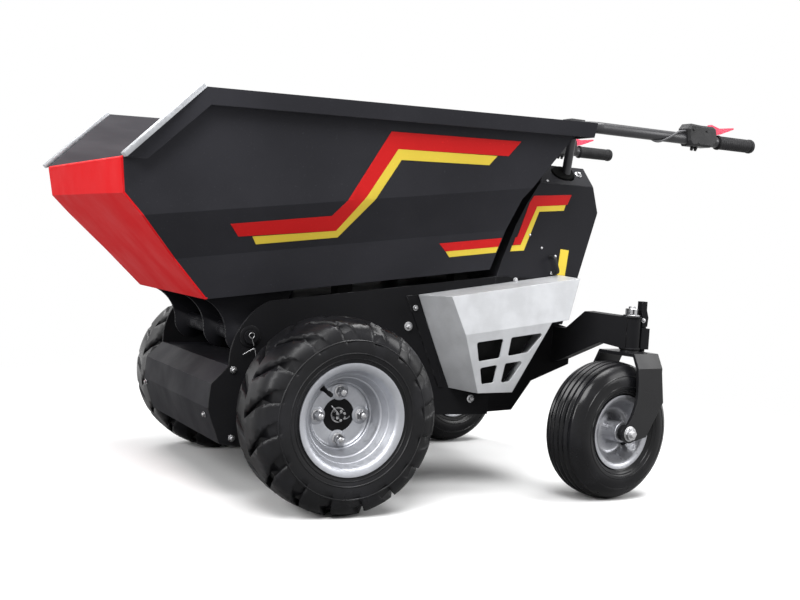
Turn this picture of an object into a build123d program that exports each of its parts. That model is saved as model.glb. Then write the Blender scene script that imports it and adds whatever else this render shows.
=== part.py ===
from build123d import *
import os

# Walk-behind site dumper. Millimetres, +X ahead, +Y left, +Z up, floor at Z = 0.
# Stations along the machine are given as distances behind the drive axle: bk(d) turns one into X.

# ---- driving dimensions -------------------------------------------------------------------------
AXLE_X = 354.0             # drive axle ahead of the machine's middle
TRACK_HALF = 389.0         # wheel centre planes, drive wheels and castors alike
DRIVE_R = 205.0            # drive tyre, to the lug tips
DRIVE_W = 168.0            # drive tyre width
DRIVE_RIM_R = 117.0        # rim flange
CASTOR_R = 162.0           # castor tyre
CASTOR_W = 118.0
CASTOR_RIM_R = 87.0
SWIVEL_BACK = 758.0        # castor swivel axis behind the drive axle
SWIVEL_Y = 385.0
CASTOR_TRAIL = 58.0
CASTOR_ANGLE = 8.0         # both castors stand turned by this much, as parked
PLATE_Y = 252.0            # outer face of the chassis side plates
PLATE_T = 6.0
SHEET = 4.0                # tub and cover sheet
FLOOR_SLOPE = 0.135        # tub floor, its side folds and the chassis deck rise towards the back
RIM_SLOPE = 0.027
RIM_Z = 855.7              # tub rim height over the axle
FOLD1_Z = 649.0            # upper side fold over the axle
FOLD2_Z = 554.0            # lower side fold over the axle
FLOOR_Z = 462.0            # tub underside over the axle
RIM_Y = 380.0              # half widths of the tub's section, rim to floor
FOLD1_Y = 336.0
FOLD2_Y = 284.0
FLOOR_Y = 256.0
FLANGE_OUT = 20.0          # rim flange stands this far out of the wall
FLANGE_H = 33.0
PIVOT_BACK = -150.0        # tipping pivot
PIVOT_Z = 352.0
PIVOT_R = 15.0
RUN_FIT = 0.05             # radial clearance of running fits
SEAT = 0.3                 # gap of loose seats
BAR_Y = 296.0              # handlebar
BAR_Z = 875.0
BAR_R = 14.0
BAR_BACK = 658.0
GRIP_R = 15.0
GRIP_END = 1178.0
GRIP_START = 1060.0
POST_Y = 238.0             # handlebar posts where they meet the bar
BELLY_Z = DRIVE_R - 90.0   # underside of the chassis box
REAR_Z = DRIVE_R - 27.0    # and of its raised rear part


def bk(d):
    return AXLE_X - d


def out_xz(points):
    return [(bk(d), z) for d, z in points]


os.makedirs("parts", exist_ok=True)

# ---- tub ----------------------------------------------------------------------------------------
TUB_FRONT, TUB_BACK = -520.0, 660.0     # stations of the two lofted sections


def tub_section(d, inset, rise):
    # half section from the rim down to the floor, then mirrored
    slope = (RIM_Y - FOLD1_Y) / (RIM_Z - FOLD1_Z)
    half = [
        (RIM_Y + slope * rise - inset, RIM_Z + RIM_SLOPE * d + rise),
        (FOLD1_Y - inset, FOLD1_Z + FLOOR_SLOPE * d),
        (FOLD2_Y - inset, FOLD2_Z + FLOOR_SLOPE * d),
        (FLOOR_Y - inset, FLOOR_Z + FLOOR_SLOPE * d + max(inset, 0.0)),
    ]
    return half + [(-y, z) for y, z in reversed(half)]


FLOOR_FRONT = (-255.0, FLOOR_Z - 255.0 * FLOOR_SLOPE)
FLOOR_REAR = (434.0, FLOOR_Z + 434.0 * FLOOR_SLOPE)
NOSE_FOLD = (-459.0, 633.0)
LIP = (-469.0, 700.0)
RIM_FRONT = (-321.0, RIM_Z - 321.0 * RIM_SLOPE)
RIM_REAR = (590.0, RIM_Z + 590.0 * RIM_SLOPE)
REAR_KNEE = (468.0, 688.0)
TALL_Z = RIM_Z + 75.0      # cutters reach up to here
SIDE = [RIM_REAR, REAR_KNEE, FLOOR_REAR, FLOOR_FRONT, NOSE_FOLD, LIP, RIM_FRONT]


def carried_up(low, high, z):
    # the point at height z on the line from low through high
    share = (z - low[1]) / (high[1] - low[1])
    return (low[0] + share * (high[0] - low[0]), z)


# the same outline with its end walls carried on up past the rim
TALL = [carried_up(REAR_KNEE, RIM_REAR, TALL_Z), REAR_KNEE, FLOOR_REAR, FLOOR_FRONT, NOSE_FOLD,
        carried_up(NOSE_FOLD, LIP, TALL_Z)]

with BuildPart() as cavity:
    for d in (TUB_FRONT, TUB_BACK):
        with BuildSketch(Plane.YZ.offset(bk(d))):
            Polygon(*tub_section(d, SHEET, 60.0), align=None)
    loft(ruled=True)
    with BuildSketch(Plane.XZ):
        Polygon(*out_xz(TALL), align=None)
        offset(amount=-SHEET, kind=Kind.INTERSECTION)
    extrude(amount=500, both=True, mode=Mode.INTERSECT)

with BuildPart() as rim_flange:
    for d in (TUB_FRONT, TUB_BACK):
        with BuildSketch(Plane.YZ.offset(bk(d))):
            Polygon(*tub_section(d, -FLANGE_OUT, 0.0), align=None)
    loft(ruled=True)
    # flange band along the rim, down the slanted front edge and across the back
    with BuildSketch(Plane.XZ):
        Polygon(*out_xz([
            (RIM_REAR[0] + FLANGE_OUT, RIM_REAR[1] + 0.3), RIM_FRONT, LIP,
            (LIP[0] + FLANGE_H * 1.40, LIP[1]), (RIM_FRONT[0] + 13.0, RIM_FRONT[1] - FLANGE_H),
            (RIM_REAR[0] + FLANGE_OUT, RIM_REAR[1] - FLANGE_H + 0.3)]), align=None)
    extrude(amount=500, both=True, mode=Mode.INTERSECT)

# open underneath: the flange is a folded sheet, not a bar
with BuildPart() as flange_gap:
    for d in (TUB_FRONT, TUB_BACK):
        with BuildSketch(Plane.YZ.offset(bk(d))):
            Polygon(*tub_section(d, SHEET - FLANGE_OUT, 0.0), align=None)
    loft(ruled=True)
    with BuildSketch(Plane.XZ):
        Polygon(*out_xz([
            (RIM_REAR[0] + FLANGE_OUT - SHEET, RIM_REAR[1] - SHEET),
            (RIM_FRONT[0] + 2.0, RIM_FRONT[1] - SHEET), (LIP[0] + 6.0, LIP[1] - 2.0),
            (LIP[0] + 80.0, LIP[1] - 60.0),
            (RIM_REAR[0] + FLANGE_OUT - SHEET, RIM_REAR[1] - 80.0)]), align=None)
    extrude(amount=500, both=True, mode=Mode.INTERSECT)

with BuildPart() as tub_walls:
    for d in (TUB_FRONT, TUB_BACK):
        with BuildSketch(Plane.YZ.offset(bk(d))):
            Polygon(*tub_section(d, 0.0, 0.0), align=None)
    loft(ruled=True)
    with BuildSketch(Plane.XZ):
        Polygon(*out_xz(SIDE), align=None)
    extrude(amount=500, both=True, mode=Mode.INTERSECT)

NOSE_CUT = -250.0          # the nose plate ends here, just behind the floor's front corner
with BuildPart() as nose_strip:
    with BuildSketch(Plane.XZ):
        Polygon(*out_xz(TALL), align=None)
        offset(amount=-SHEET, kind=Kind.INTERSECTION, mode=Mode.SUBTRACT)
        with BuildLine():
            Polyline(*out_xz([(NOSE_CUT, 380), (-540, 380), (-540, LIP[1] + 20), (NOSE_CUT, LIP[1] + 20)]),
                     close=True)
        make_face(mode=Mode.INTERSECT)
    extrude(amount=500, both=True)

with BuildPart() as tub_nose:
    add(tub_walls.part)
    add(nose_strip.part, mode=Mode.INTERSECT)
tub_nose.part.label = "tub_nose"

with BuildPart() as tub_shell:
    add(rim_flange.part)
    add(flange_gap.part, mode=Mode.SUBTRACT)
    add(tub_walls.part)
    add(cavity.part, mode=Mode.SUBTRACT)
    add(nose_strip.part, mode=Mode.SUBTRACT)
tub_shell.part.label = "tub_shell"

# three curved hinge plates under the nose, on one cross tube
RIB_T = 8.0
RIB_Y = (-215.0, 0.0, 215.0)
BOSS_R = 42.0
HINGE_TUBE_R = 23.0
with BuildPart() as tub_ribs:
    for y in RIB_Y:
        with BuildSketch(Plane.XZ.offset(-y)):
            with BuildLine():
                top_front = (-250.0, FLOOR_Z - 250.0 * FLOOR_SLOPE)
                top_back = (-40.0, FLOOR_Z - 40.0 * FLOOR_SLOPE)
                boss_front = (PIVOT_BACK - BOSS_R, PIVOT_Z)
                Polyline(*out_xz([top_front, top_back, (PIVOT_BACK + BOSS_R, PIVOT_Z)]))
                ThreePointArc(*out_xz([(PIVOT_BACK + BOSS_R, PIVOT_Z), (PIVOT_BACK, PIVOT_Z - BOSS_R),
                                       boss_front]))
                # the front edge is hollowed to one long curve
                ThreePointArc(*out_xz([boss_front, (PIVOT_BACK - BOSS_R - 13.0, PIVOT_Z + 42.0), top_front]))
            make_face()
        extrude(amount=RIB_T / 2, both=True)
    with BuildSketch(Plane.XZ):
        with Locations((bk(PIVOT_BACK), PIVOT_Z)):
            Circle(HINGE_TUBE_R)
    extrude(amount=PLATE_Y - PLATE_T - 8.0, both=True)
    with BuildSketch(Plane.XZ):
        with Locations((bk(PIVOT_BACK), PIVOT_Z)):
            Circle(PIVOT_R + RUN_FIT)
    extrude(amount=400, both=True, mode=Mode.SUBTRACT)
tub_ribs.part.label = "tub_ribs"

# ---- chassis ------------------------------------------------------------------------------------
COVER_FACE = [(-192.6, 288.3), (-230.0, 251.0), (-234.4, 198.2), (-207.0, 123.0)]
PLATE_REAR = 455.0
HOUSING_R = 34.0           # drive axle housing
DECK_DROP = 18.6           # plate top edge under the line of the tub's floor


def deck_z(d):
    return FLOOR_Z - DECK_DROP + d * FLOOR_SLOPE


with BuildPart() as chassis_plate_left:
    with BuildSketch(Plane.XZ.offset(-PLATE_Y)):
        with BuildLine():
            ThreePointArc(*out_xz([COVER_FACE[0], (-172.0, 372.0), (-109.0, deck_z(-109.0))]))
            Polyline(*out_xz([(-109.0, deck_z(-109.0)), (PLATE_REAR, deck_z(PLATE_REAR)),
                              (PLATE_REAR, REAR_Z), (180.0, REAR_Z), (60.0, BELLY_Z), (-161.0, BELLY_Z),
                              COVER_FACE[3], COVER_FACE[2], COVER_FACE[1], COVER_FACE[0]]))
        make_face()
        with Locations((bk(PIVOT_BACK), PIVOT_Z)):
            Circle(PIVOT_R, mode=Mode.SUBTRACT)
        with Locations((bk(0), DRIVE_R)):
            Circle(HOUSING_R, mode=Mode.SUBTRACT)
    extrude(amount=PLATE_T)
    # folded strip that the side cover's front edge lies against
    with BuildSketch(Plane.XZ.offset(-PLATE_Y)):
        Polygon(*out_xz([(219.0, 451.0), (244.5, 454.0), (283.5, 372.0), (327.5, 243.5), (316.0, 243.5)]),
                align=None)
    extrude(amount=-3.0)
chassis_plate_left.part.label = "chassis_plate_left"

with BuildPart() as chassis_plate_right:
    add(mirror(chassis_plate_left.part, about=Plane.XZ))
chassis_plate_right.part.label = "chassis_plate_right"

INNER_Y = PLATE_Y - PLATE_T
with BuildPart() as front_cover:
    with BuildSketch(Plane.XZ):
        with BuildLine():
            Polyline(*out_xz([(-70.0, 288.3)] + COVER_FACE + [
                     (-161.0, BELLY_Z), (-161.0, BELLY_Z + SHEET), (-204.5, 126.4), (-230.3, 198.4),
                     (-226.2, 249.3), (-191.0, 284.3), (-70.0, 284.3)]), close=True)
        make_face()
    extrude(amount=INNER_Y, both=True)
front_cover.part.label = "front_cover"

with BuildPart() as chassis_deck:
    with BuildSketch(Plane.XZ):
        Polygon(*out_xz([(-40.0, deck_z(-40.0) - 10), (PLATE_REAR, deck_z(PLATE_REAR) - 10),
                         (PLATE_REAR, deck_z(PLATE_REAR) - 14), (-40.0, deck_z(-40.0) - 14)]), align=None)
        Polygon(*out_xz([(-40.0, deck_z(-40.0) - 14), (-34.0, deck_z(-34.0) - 14),
                         (-34.0, 288.3), (-40.0, 288.3)]), align=None)
    extrude(amount=INNER_Y, both=True)
chassis_deck.part.label = "chassis_deck"

with BuildPart() as belly_pan:
    with BuildSketch(Plane.XZ):
        Polygon(*out_xz([(-161.0, BELLY_Z), (60.0, BELLY_Z), (180.0, REAR_Z), (PLATE_REAR, REAR_Z),
                         (PLATE_REAR, REAR_Z + SHEET), (179.0, REAR_Z + SHEET), (59.0, BELLY_Z + SHEET),
                         (-161.0, BELLY_Z + SHEET)]), align=None)
    extrude(amount=INNER_Y, both=True)
belly_pan.part.label = "belly_pan"

with BuildPart() as tub_pivot_shaft:
    with BuildSketch(Plane.XZ):
        with Locations((bk(PIVOT_BACK), PIVOT_Z)):
            Circle(PIVOT_R)
    extrude(amount=PLATE_Y + 9.0, both=True)
tub_pivot_shaft.part.label = "tub_pivot_shaft"

# battery and drive inside the chassis box, as one plain mass
with BuildPart() as power_block:
    with Locations((bk(260.0), 0, 300.0)):
        Box(340.0, 400.0, 200.0)
    with Locations((bk(260.0), 0, 191.0)):
        Box(300.0, 300.0, 18.0)
power_block.part.label = "power_block"

# drive axle: housing across the chassis with a spindle into each hub
SPINDLE_R = 16.0
HUB_IN = TRACK_HALF - 67.0     # inner end of the wheel hub
HUB_OUT = TRACK_HALF + 5.0     # outer face of the wheel hub
with BuildPart() as drive_axle:
    with BuildSketch(Plane.XZ):
        with Locations((bk(0), DRIVE_R)):
            Circle(HOUSING_R)
    extrude(amount=HUB_IN - 22.0, both=True)
    with BuildSketch(Plane.XZ):
        with Locations((bk(0), DRIVE_R)):
            Circle(SPINDLE_R)
    extrude(amount=HUB_OUT - 12.0, both=True)
    with Locations((bk(0), 0, DRIVE_R)):
        Box(150.0, 170.0, 150.0)
drive_axle.part.label = "drive_axle"

# rear body under the console
REAR_Y = 225.0
SHELF_Z = 396.0
SHELF_TOP = 505.0
with BuildPart() as rear_body:
    with BuildSketch(Plane.XZ):
        Polygon(*out_xz([(PLATE_REAR, REAR_Z), (540.0, REAR_Z + 5.0), (592.0, 254.0), (700.0, 296.0),
                         (700.0, 385.0), (654.0, SHELF_Z), (PLATE_REAR, SHELF_Z)]), align=None)
    extrude(amount=REAR_Y, both=True)
rear_body.part.label = "rear_body"

# the part above it is as wide as the chassis and carries the console
with BuildPart() as rear_shelf:
    with BuildSketch(Plane.XZ):
        Polygon(*out_xz([(PLATE_REAR, SHELF_Z), (654.0, SHELF_Z), (690.0, SHELF_TOP),
                         (PLATE_REAR, SHELF_TOP)]), align=None)
    extrude(amount=PLATE_Y, both=True)
rear_shelf.part.label = "rear_shelf"

# ---- drive wheels -------------------------------------------------------------------------------
# tyre half section over the lug tips, as (distance from the wheel's centre plane, radius)
HALF_W = DRIVE_W / 2
LIP_OUT = HALF_W - 3.0     # rim lip
BEAD_OUT = LIP_OUT - 4.5 - SEAT
TYRE = [(0.0, DRIVE_R), (HALF_W - 32.0, DRIVE_R - 2.5), (HALF_W - 13.0, DRIVE_R - 11.0),
        (HALF_W - 3.0, DRIVE_R - 28.0), (HALF_W, DRIVE_R - 46.0), (HALF_W - 1.5, DRIVE_RIM_R + 22.0),
        (HALF_W - 5.5, DRIVE_RIM_R + 6.0), (BEAD_OUT, DRIVE_RIM_R + 1.0), (BEAD_OUT, DRIVE_RIM_R - 10.6),
        (LIP_OUT - 14.0, DRIVE_RIM_R - 13.2), (LIP_OUT - 19.0, DRIVE_RIM_R + 4.0)]
# chevron grooves between the lugs, as (distance out from the centre plane, lag, half width, floor radius)
LUGS = 16
GROOVE = [(2.0, 0.0, 7.0, DRIVE_R - 13.0), (HALF_W - 31.0, 31.0, 9.0, DRIVE_R - 15.0),
          (HALF_W - 12.0, 47.0, 12.0, DRIVE_R - 25.0), (HALF_W - 4.0, 50.0, 13.5, DRIVE_R - 40.0),
          (HALF_W + 4.0, 53.0, 15.0, DRIVE_R - 56.0)]
with BuildPart() as groove:
    # drawn on the wheel's top, with the wheel's axle at the origin
    with BuildSketch(Plane.XY):
        Polygon(*[(-lag - half, out) for out, lag, half, _ in GROOVE],
                *[(-lag + half, out) for out, lag, half, _ in reversed(GROOVE)], align=None)
    extrude(amount=DRIVE_R + 20.0)
    with BuildSketch(Plane.YZ):
        Polygon((GROOVE[0][0] - 1.0, DRIVE_R + 20.0),
                *[(out, (floor ** 2 - lag ** 2) ** 0.5) for out, lag, _, floor in GROOVE],
                (GROOVE[-1][0], DRIVE_R + 20.0), align=None)
    extrude(amount=DRIVE_R, both=True, mode=Mode.INTERSECT)

groove_inside = mirror(groove.part, about=Plane.XZ)
with BuildPart() as wheel_tyre:
    with BuildSketch(Plane.YZ):
        with BuildLine():
            Polyline(*[(w, r) for w, r in TYRE], *[(-w, r) for w, r in reversed(TYRE)], close=True)
        make_face()
    revolve(axis=Axis.Y)
    # the two rows are staggered by half a pitch
    for number in range(LUGS):
        add(groove.part.rotate(Axis.Y, number * 360.0 / LUGS), mode=Mode.SUBTRACT)
        add(groove_inside.rotate(Axis.Y, (number + 0.5) * 360.0 / LUGS), mode=Mode.SUBTRACT)

with BuildPart() as drive_tyre_left:
    with Locations((bk(0), TRACK_HALF, DRIVE_R)):
        add(wheel_tyre.part)
drive_tyre_left.part.label = "drive_tyre_left"

# rim section, as (distance out, radius): a dished barrel with rolled lips, and a disc set in it
DISC_T = 5.0
DISC_OUT = 8.0             # outer face of the disc from the centre plane
DISC_BORE = 36.0
RR = DRIVE_RIM_R
RIM = [(LIP_OUT, RR), (LIP_OUT, RR - 5.0), (LIP_OUT - 4.0, RR - 15.0), (LIP_OUT - 10.0, RR - 17.5),
       (31.0, RR - 39.0), (-36.0, RR - 39.0), (-60.0, RR - 20.0), (-LIP_OUT + 4.0, RR - 15.0),
       (-LIP_OUT, RR - 5.0), (-LIP_OUT, RR), (-LIP_OUT + 4.0, RR), (-LIP_OUT + 4.5, RR - 11.0),
       (-LIP_OUT + 19.0, RR - 15.5), (-34.0, RR - 34.5), (30.0, RR - 34.5), (LIP_OUT - 15.0, RR - 14.0),
       (LIP_OUT - 4.5, RR - 11.0), (LIP_OUT - 4.0, RR)]
DISC = [(DISC_OUT, DISC_BORE), (DISC_OUT, RR - 56.0), (DISC_OUT + 4.0, RR - 50.0),
        (DISC_OUT + 13.0, RR - 44.0), (31.5, RR - 38.5), (24.0, RR - 38.5), (DISC_OUT + 2.0, RR - 42.0),
        (DISC_OUT - DISC_T, RR - 51.0),
        (DISC_OUT - DISC_T, DISC_BORE)]
with BuildPart() as drive_rim_left:
    for outline in (RIM, DISC):
        with BuildSketch(Plane.YZ.offset(bk(0))):
            Polygon(*[(TRACK_HALF + out, DRIVE_R + r) for out, r in outline], align=None)
        revolve(axis=Axis((bk(0), 0, DRIVE_R), (0, 1, 0)))
drive_rim_left.part.label = "drive_rim_left"

# hub: bearing barrel, flange behind the disc, pilot in the disc's bore and the spindle nut
FLANGE_R = 62.0
FLANGE_Y = TRACK_HALF + DISC_OUT - DISC_T - SEAT
SPINDLE_NUT_R = 13.0
HUB = [(HUB_IN, SPINDLE_R + RUN_FIT), (HUB_OUT - 10.0, SPINDLE_R + RUN_FIT), (HUB_OUT - 10.0, 0.0),
       (HUB_OUT + 20.0, 0.0), (HUB_OUT + 20.0, 6.0), (HUB_OUT + 15.0, 6.0), (HUB_OUT + 15.0, SPINDLE_NUT_R),
       (HUB_OUT, SPINDLE_NUT_R), (HUB_OUT, DISC_BORE - SEAT), (FLANGE_Y, DISC_BORE - SEAT),
       (FLANGE_Y, FLANGE_R), (FLANGE_Y - 9.0, FLANGE_R), (FLANGE_Y - 13.0, HOUSING_R + 2.0),
       (HUB_IN, HOUSING_R)]
with BuildPart() as drive_hub_left:
    with BuildSketch(Plane.YZ.offset(bk(0))):
        Polygon(*[(y, DRIVE_R + r) for y, r in HUB], align=None)
    revolve(axis=Axis((bk(0), 0, DRIVE_R), (0, 1, 0)))
drive_hub_left.part.label = "drive_hub_left"

with BuildPart() as drive_tyre_right:
    add(mirror(drive_tyre_left.part, about=Plane.XZ))
drive_tyre_right.part.label = "drive_tyre_right"
with BuildPart() as drive_rim_right:
    add(mirror(drive_rim_left.part, about=Plane.XZ))
drive_rim_right.part.label = "drive_rim_right"
with BuildPart() as drive_hub_right:
    add(mirror(drive_hub_left.part, about=Plane.XZ))
drive_hub_right.part.label = "drive_hub_right"

# ---- castors ------------------------------------------------------------------------------------
# Each castor is drawn straight about its swivel axis at the origin, wheel ahead of the axis by the
# trail, then turned by CASTOR_ANGLE and set in place.
LEG_T = 8.0
LEG_IN = CASTOR_W / 2 + 7.0    # inner face of each fork leg from the wheel's centre plane
LEG_OUT = LEG_IN + LEG_T
FORK_TOP = CASTOR_R + 184.0
SHOULDER_Y = LEG_OUT - 17.0    # the crown slopes down to the legs from here
SHOULDER_Z = FORK_TOP - 33.0
CROWN_FRONT, CROWN_REAR = 42.0, -38.0
STEM_R = 13.0
HEAD_R = 22.0
HEAD_LOW, HEAD_HIGH = FORK_TOP + 4.0, FORK_TOP + 84.0
CASTOR_AXLE_R = 9.0
AXLE_OUT = LEG_OUT + 12.0
HALF_C = CASTOR_W / 2
CLIP = HALF_C - 9.0
CBEAD = CLIP - 3.7 - SEAT
# tyre half section with its running grooves, as (distance out, radius)
CTYRE = [(3.5, CASTOR_R - 6.0), (5.0, CASTOR_R - 0.2), (11.5, CASTOR_R - 0.6), (13.0, CASTOR_R - 6.5),
         (17.0, CASTOR_R - 7.0), (18.5, CASTOR_R - 1.4), (25.5, CASTOR_R - 2.6), (27.0, CASTOR_R - 8.0),
         (31.0, CASTOR_R - 9.0), (32.5, CASTOR_R - 4.2), (HALF_C - 18.0, CASTOR_R - 8.5),
         (HALF_C - 9.0, CASTOR_R - 17.0), (HALF_C - 3.0, CASTOR_R - 29.0), (HALF_C, CASTOR_R - 43.0),
         (HALF_C - 2.0, CASTOR_RIM_R + 15.0), (HALF_C - 8.0, CASTOR_RIM_R + 5.0),
         (CBEAD, CASTOR_RIM_R + 1.0), (CBEAD, CASTOR_RIM_R - 8.7), (CLIP - 8.0, CASTOR_RIM_R - 10.8),
         (CLIP - 12.0, CASTOR_RIM_R + 3.0)]
CR = CASTOR_RIM_R
CRIM = [(CLIP, CR), (CLIP, CR - 4.0), (CLIP - 3.0, CR - 12.5), (CLIP - 8.0, CR - 15.0), (22.0, CR - 27.0),
        (-22.0, CR - 27.0), (-CLIP + 8.0, CR - 15.0), (-CLIP + 3.0, CR - 12.5), (-CLIP, CR - 4.0),
        (-CLIP, CR),
        (-CLIP + 3.2, CR), (-CLIP + 3.7, CR - 9.0), (-CLIP + 7.0, CR - 11.0), (-24.0, CR - 23.0),
        (24.0, CR - 23.0), (CLIP - 7.0, CR - 11.0), (CLIP - 3.7, CR - 9.0), (CLIP - 3.2, CR)]
CHUB_R = 24.0
CDISC = [(10.0, CHUB_R - 2.0), (10.0, CR - 39.0), (14.0, CR - 32.0), (22.0, CR - 26.5), (15.0, CR - 26.5),
         (9.0, CR - 31.0), (6.0, CR - 38.0), (6.0, CHUB_R - 2.0)]
CHUB = [(-LEG_IN + SEAT + 14.0, CASTOR_AXLE_R + RUN_FIT), (-LEG_IN + SEAT + 14.0, CHUB_R - 2.0),
        (-LEG_IN + SEAT + 16.0, CHUB_R), (LEG_IN - SEAT - 16.0, CHUB_R),
        (LEG_IN - SEAT - 14.0, CHUB_R - 2.0),
        (LEG_IN - SEAT - 14.0, CASTOR_AXLE_R + RUN_FIT)]

with BuildPart() as fork_straight:
    # one bent strip: level crown, sloping shoulders and two legs swept forward to the wheel's axle
    with BuildSketch(Plane.YZ):
        with BuildLine():
            Polyline((-LEG_OUT, 0), (-LEG_OUT, SHOULDER_Z), (-SHOULDER_Y, FORK_TOP), (SHOULDER_Y, FORK_TOP),
                     (LEG_OUT, SHOULDER_Z), (LEG_OUT, 0), (LEG_IN, 0), (LEG_IN, SHOULDER_Z - 2.0),
                     (SHOULDER_Y - 4.0, FORK_TOP - LEG_T), (-SHOULDER_Y + 4.0, FORK_TOP - LEG_T),
                     (-LEG_IN, SHOULDER_Z - 2.0), (-LEG_IN, 0), close=True)
        make_face()
    extrude(amount=200.0, both=True)
    with BuildSketch(Plane.XZ):
        with BuildLine():
            Polyline((CROWN_REAR, FORK_TOP), (CROWN_REAR, SHOULDER_Z - 10.0),
                     (CROWN_REAR - 11.0, CASTOR_R + 70.0), (2.0, CASTOR_R - 10.0),
                     (CASTOR_TRAIL - 12.0, CASTOR_R - 19.0))
            ThreePointArc((CASTOR_TRAIL - 12.0, CASTOR_R - 19.0), (CASTOR_TRAIL + 14.0, CASTOR_R - 16.0),
                          (CASTOR_TRAIL + 21.0, CASTOR_R + 5.0))
            ThreePointArc((CASTOR_TRAIL + 21.0, CASTOR_R + 5.0), (CROWN_FRONT + 5.0, CASTOR_R + 50.0),
                          (CROWN_FRONT - 5.0, CASTOR_R + 95.0))
            Polyline((CROWN_FRONT - 5.0, CASTOR_R + 95.0), (CROWN_FRONT, SHOULDER_Z),
                          (CROWN_FRONT, FORK_TOP),
                     (CROWN_REAR, FORK_TOP))
        make_face()
        with Locations((CASTOR_TRAIL, CASTOR_R)):
            Circle(CASTOR_AXLE_R, mode=Mode.SUBTRACT)
    extrude(amount=200.0, both=True, mode=Mode.INTERSECT)
    # swivel stem with a shoulder below the head tube and a nut above it
    with Locations((0, 0, FORK_TOP - 2.0)):
        Cylinder(STEM_R, HEAD_HIGH - FORK_TOP + 4.0, align=(Align.CENTER, Align.CENTER, Align.MIN))
        Cylinder(HEAD_R, HEAD_LOW - FORK_TOP + 2.0 - SEAT, align=(Align.CENTER, Align.CENTER, Align.MIN))
    with BuildSketch(Plane.XY.offset(HEAD_HIGH + SEAT)):
        Circle(19.0)
    extrude(amount=3.0)
    with BuildSketch(Plane.XY.offset(HEAD_HIGH + SEAT + 3.0)):
        RegularPolygon(15.0, 6)
    extrude(amount=14.0)

with BuildPart() as axle_straight:
    with BuildSketch(Plane.XZ):
        with Locations((CASTOR_TRAIL, CASTOR_R)):
            Circle(CASTOR_AXLE_R)
    extrude(amount=AXLE_OUT, both=True)
    for side in (-1, 1):
        # spacer between hub and leg, then a hexagon nut outside the leg
        with BuildSketch(Plane.XZ.offset(-side * (LEG_IN - SEAT))):
            with Locations((CASTOR_TRAIL, CASTOR_R)):
                Circle(17.0)
        extrude(amount=side * (14.0 - SEAT))
        with BuildSketch(Plane.XZ.offset(-side * (LEG_OUT + SEAT))):
            with Locations((CASTOR_TRAIL, CASTOR_R)):
                RegularPolygon(15.0, 6)
        extrude(amount=-side * 9.0)

with BuildPart() as ctyre_straight:
    with BuildSketch(Plane.YZ.offset(CASTOR_TRAIL)):
        Polygon(*[(w, CASTOR_R + r) for w, r in CTYRE], *[(-w, CASTOR_R + r) for w, r in reversed(CTYRE)],
                align=None)
    revolve(axis=Axis((CASTOR_TRAIL, 0, CASTOR_R), (0, 1, 0)))

with BuildPart() as crim_straight:
    for outline in (CRIM, CDISC, CHUB):
        with BuildSketch(Plane.YZ.offset(CASTOR_TRAIL)):
            Polygon(*[(w, CASTOR_R + r) for w, r in outline], align=None)
        revolve(axis=Axis((CASTOR_TRAIL, 0, CASTOR_R), (0, 1, 0)))

for straight, name in ((fork_straight, "castor_fork"), (axle_straight, "castor_axle"),
                       (ctyre_straight, "castor_tyre"), (crim_straight, "castor_rim")):
    for side, word in ((1, "left"), (-1, "right")):
        with BuildPart() as placed:
            with Locations(Location((bk(SWIVEL_BACK), side * SWIVEL_Y, 0), (0, 0, CASTOR_ANGLE))):
                add(straight.part)
        placed.part.label = f"{name}_{word}"
        export_step(placed.part, f"parts/{name}_{word}.step")

# gooseneck arm with the head tube, drawn in the upright plane through its root and the swivel axis
LOCK_BACK = SWIVEL_BACK + 36.0
LOCK_R = 8.0
LOCK_HALF = 12.0           # half width of the square lock tube
ARM_ROOT = 674.0
ARM_W = 50.0
arm_line = Vector(ARM_ROOT - SWIVEL_BACK, SWIVEL_Y - REAR_Y, 0)
ARM_LEN = arm_line.length
arm_plane = Plane(origin=(bk(ARM_ROOT), REAR_Y, 0), x_dir=arm_line.normalized(),
                  z_dir=arm_line.normalized().cross(Vector(0, 0, 1)))
with BuildPart() as castor_arm_left:
    with BuildSketch(arm_plane):
        # its underside stays clear of the castor tyre as that swings round
        Polygon((-40, HEAD_LOW - 46.0), (-40, HEAD_LOW + 38.0), (22, HEAD_LOW + 38.0), (70, HEAD_HIGH + 3.0),
                (ARM_LEN, HEAD_HIGH - 2.0), (ARM_LEN, HEAD_LOW + 2.0), (114, HEAD_LOW + 12.0),
                (2, HEAD_LOW - 46.0), align=None)
    extrude(amount=ARM_W / 2, both=True)
    with BuildSketch(Plane.XZ.offset(-REAR_Y)):
        Rectangle(3000, 1200)
    extrude(amount=-400, mode=Mode.INTERSECT)
    with Locations((bk(SWIVEL_BACK), SWIVEL_Y, HEAD_LOW)):
        Cylinder(HEAD_R, HEAD_HIGH - HEAD_LOW, align=(Align.CENTER, Align.CENTER, Align.MIN))
    # square lock tube on a web behind the head tube
    with Locations((bk(LOCK_BACK - 14), SWIVEL_Y, HEAD_LOW + 6.0)):
        Box(28.0, 12.0, 40.0, align=(Align.CENTER, Align.CENTER, Align.MIN))
    with Locations((bk(LOCK_BACK), SWIVEL_Y, HEAD_LOW + 2.0)):
        Box(2 * LOCK_HALF, 2 * LOCK_HALF, 50.0, align=(Align.CENTER, Align.CENTER, Align.MIN))
    with Locations((bk(SWIVEL_BACK), SWIVEL_Y, HEAD_LOW)):
        Cylinder(STEM_R + RUN_FIT, 260.0, mode=Mode.SUBTRACT)
    with Locations((bk(LOCK_BACK), SWIVEL_Y, HEAD_LOW)):
        Cylinder(LOCK_R, 260.0, mode=Mode.SUBTRACT)
castor_arm_left.part.label = "castor_arm_left"
with BuildPart() as castor_arm_right:
    add(mirror(castor_arm_left.part, about=Plane.XZ))
castor_arm_right.part.label = "castor_arm_right"

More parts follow.
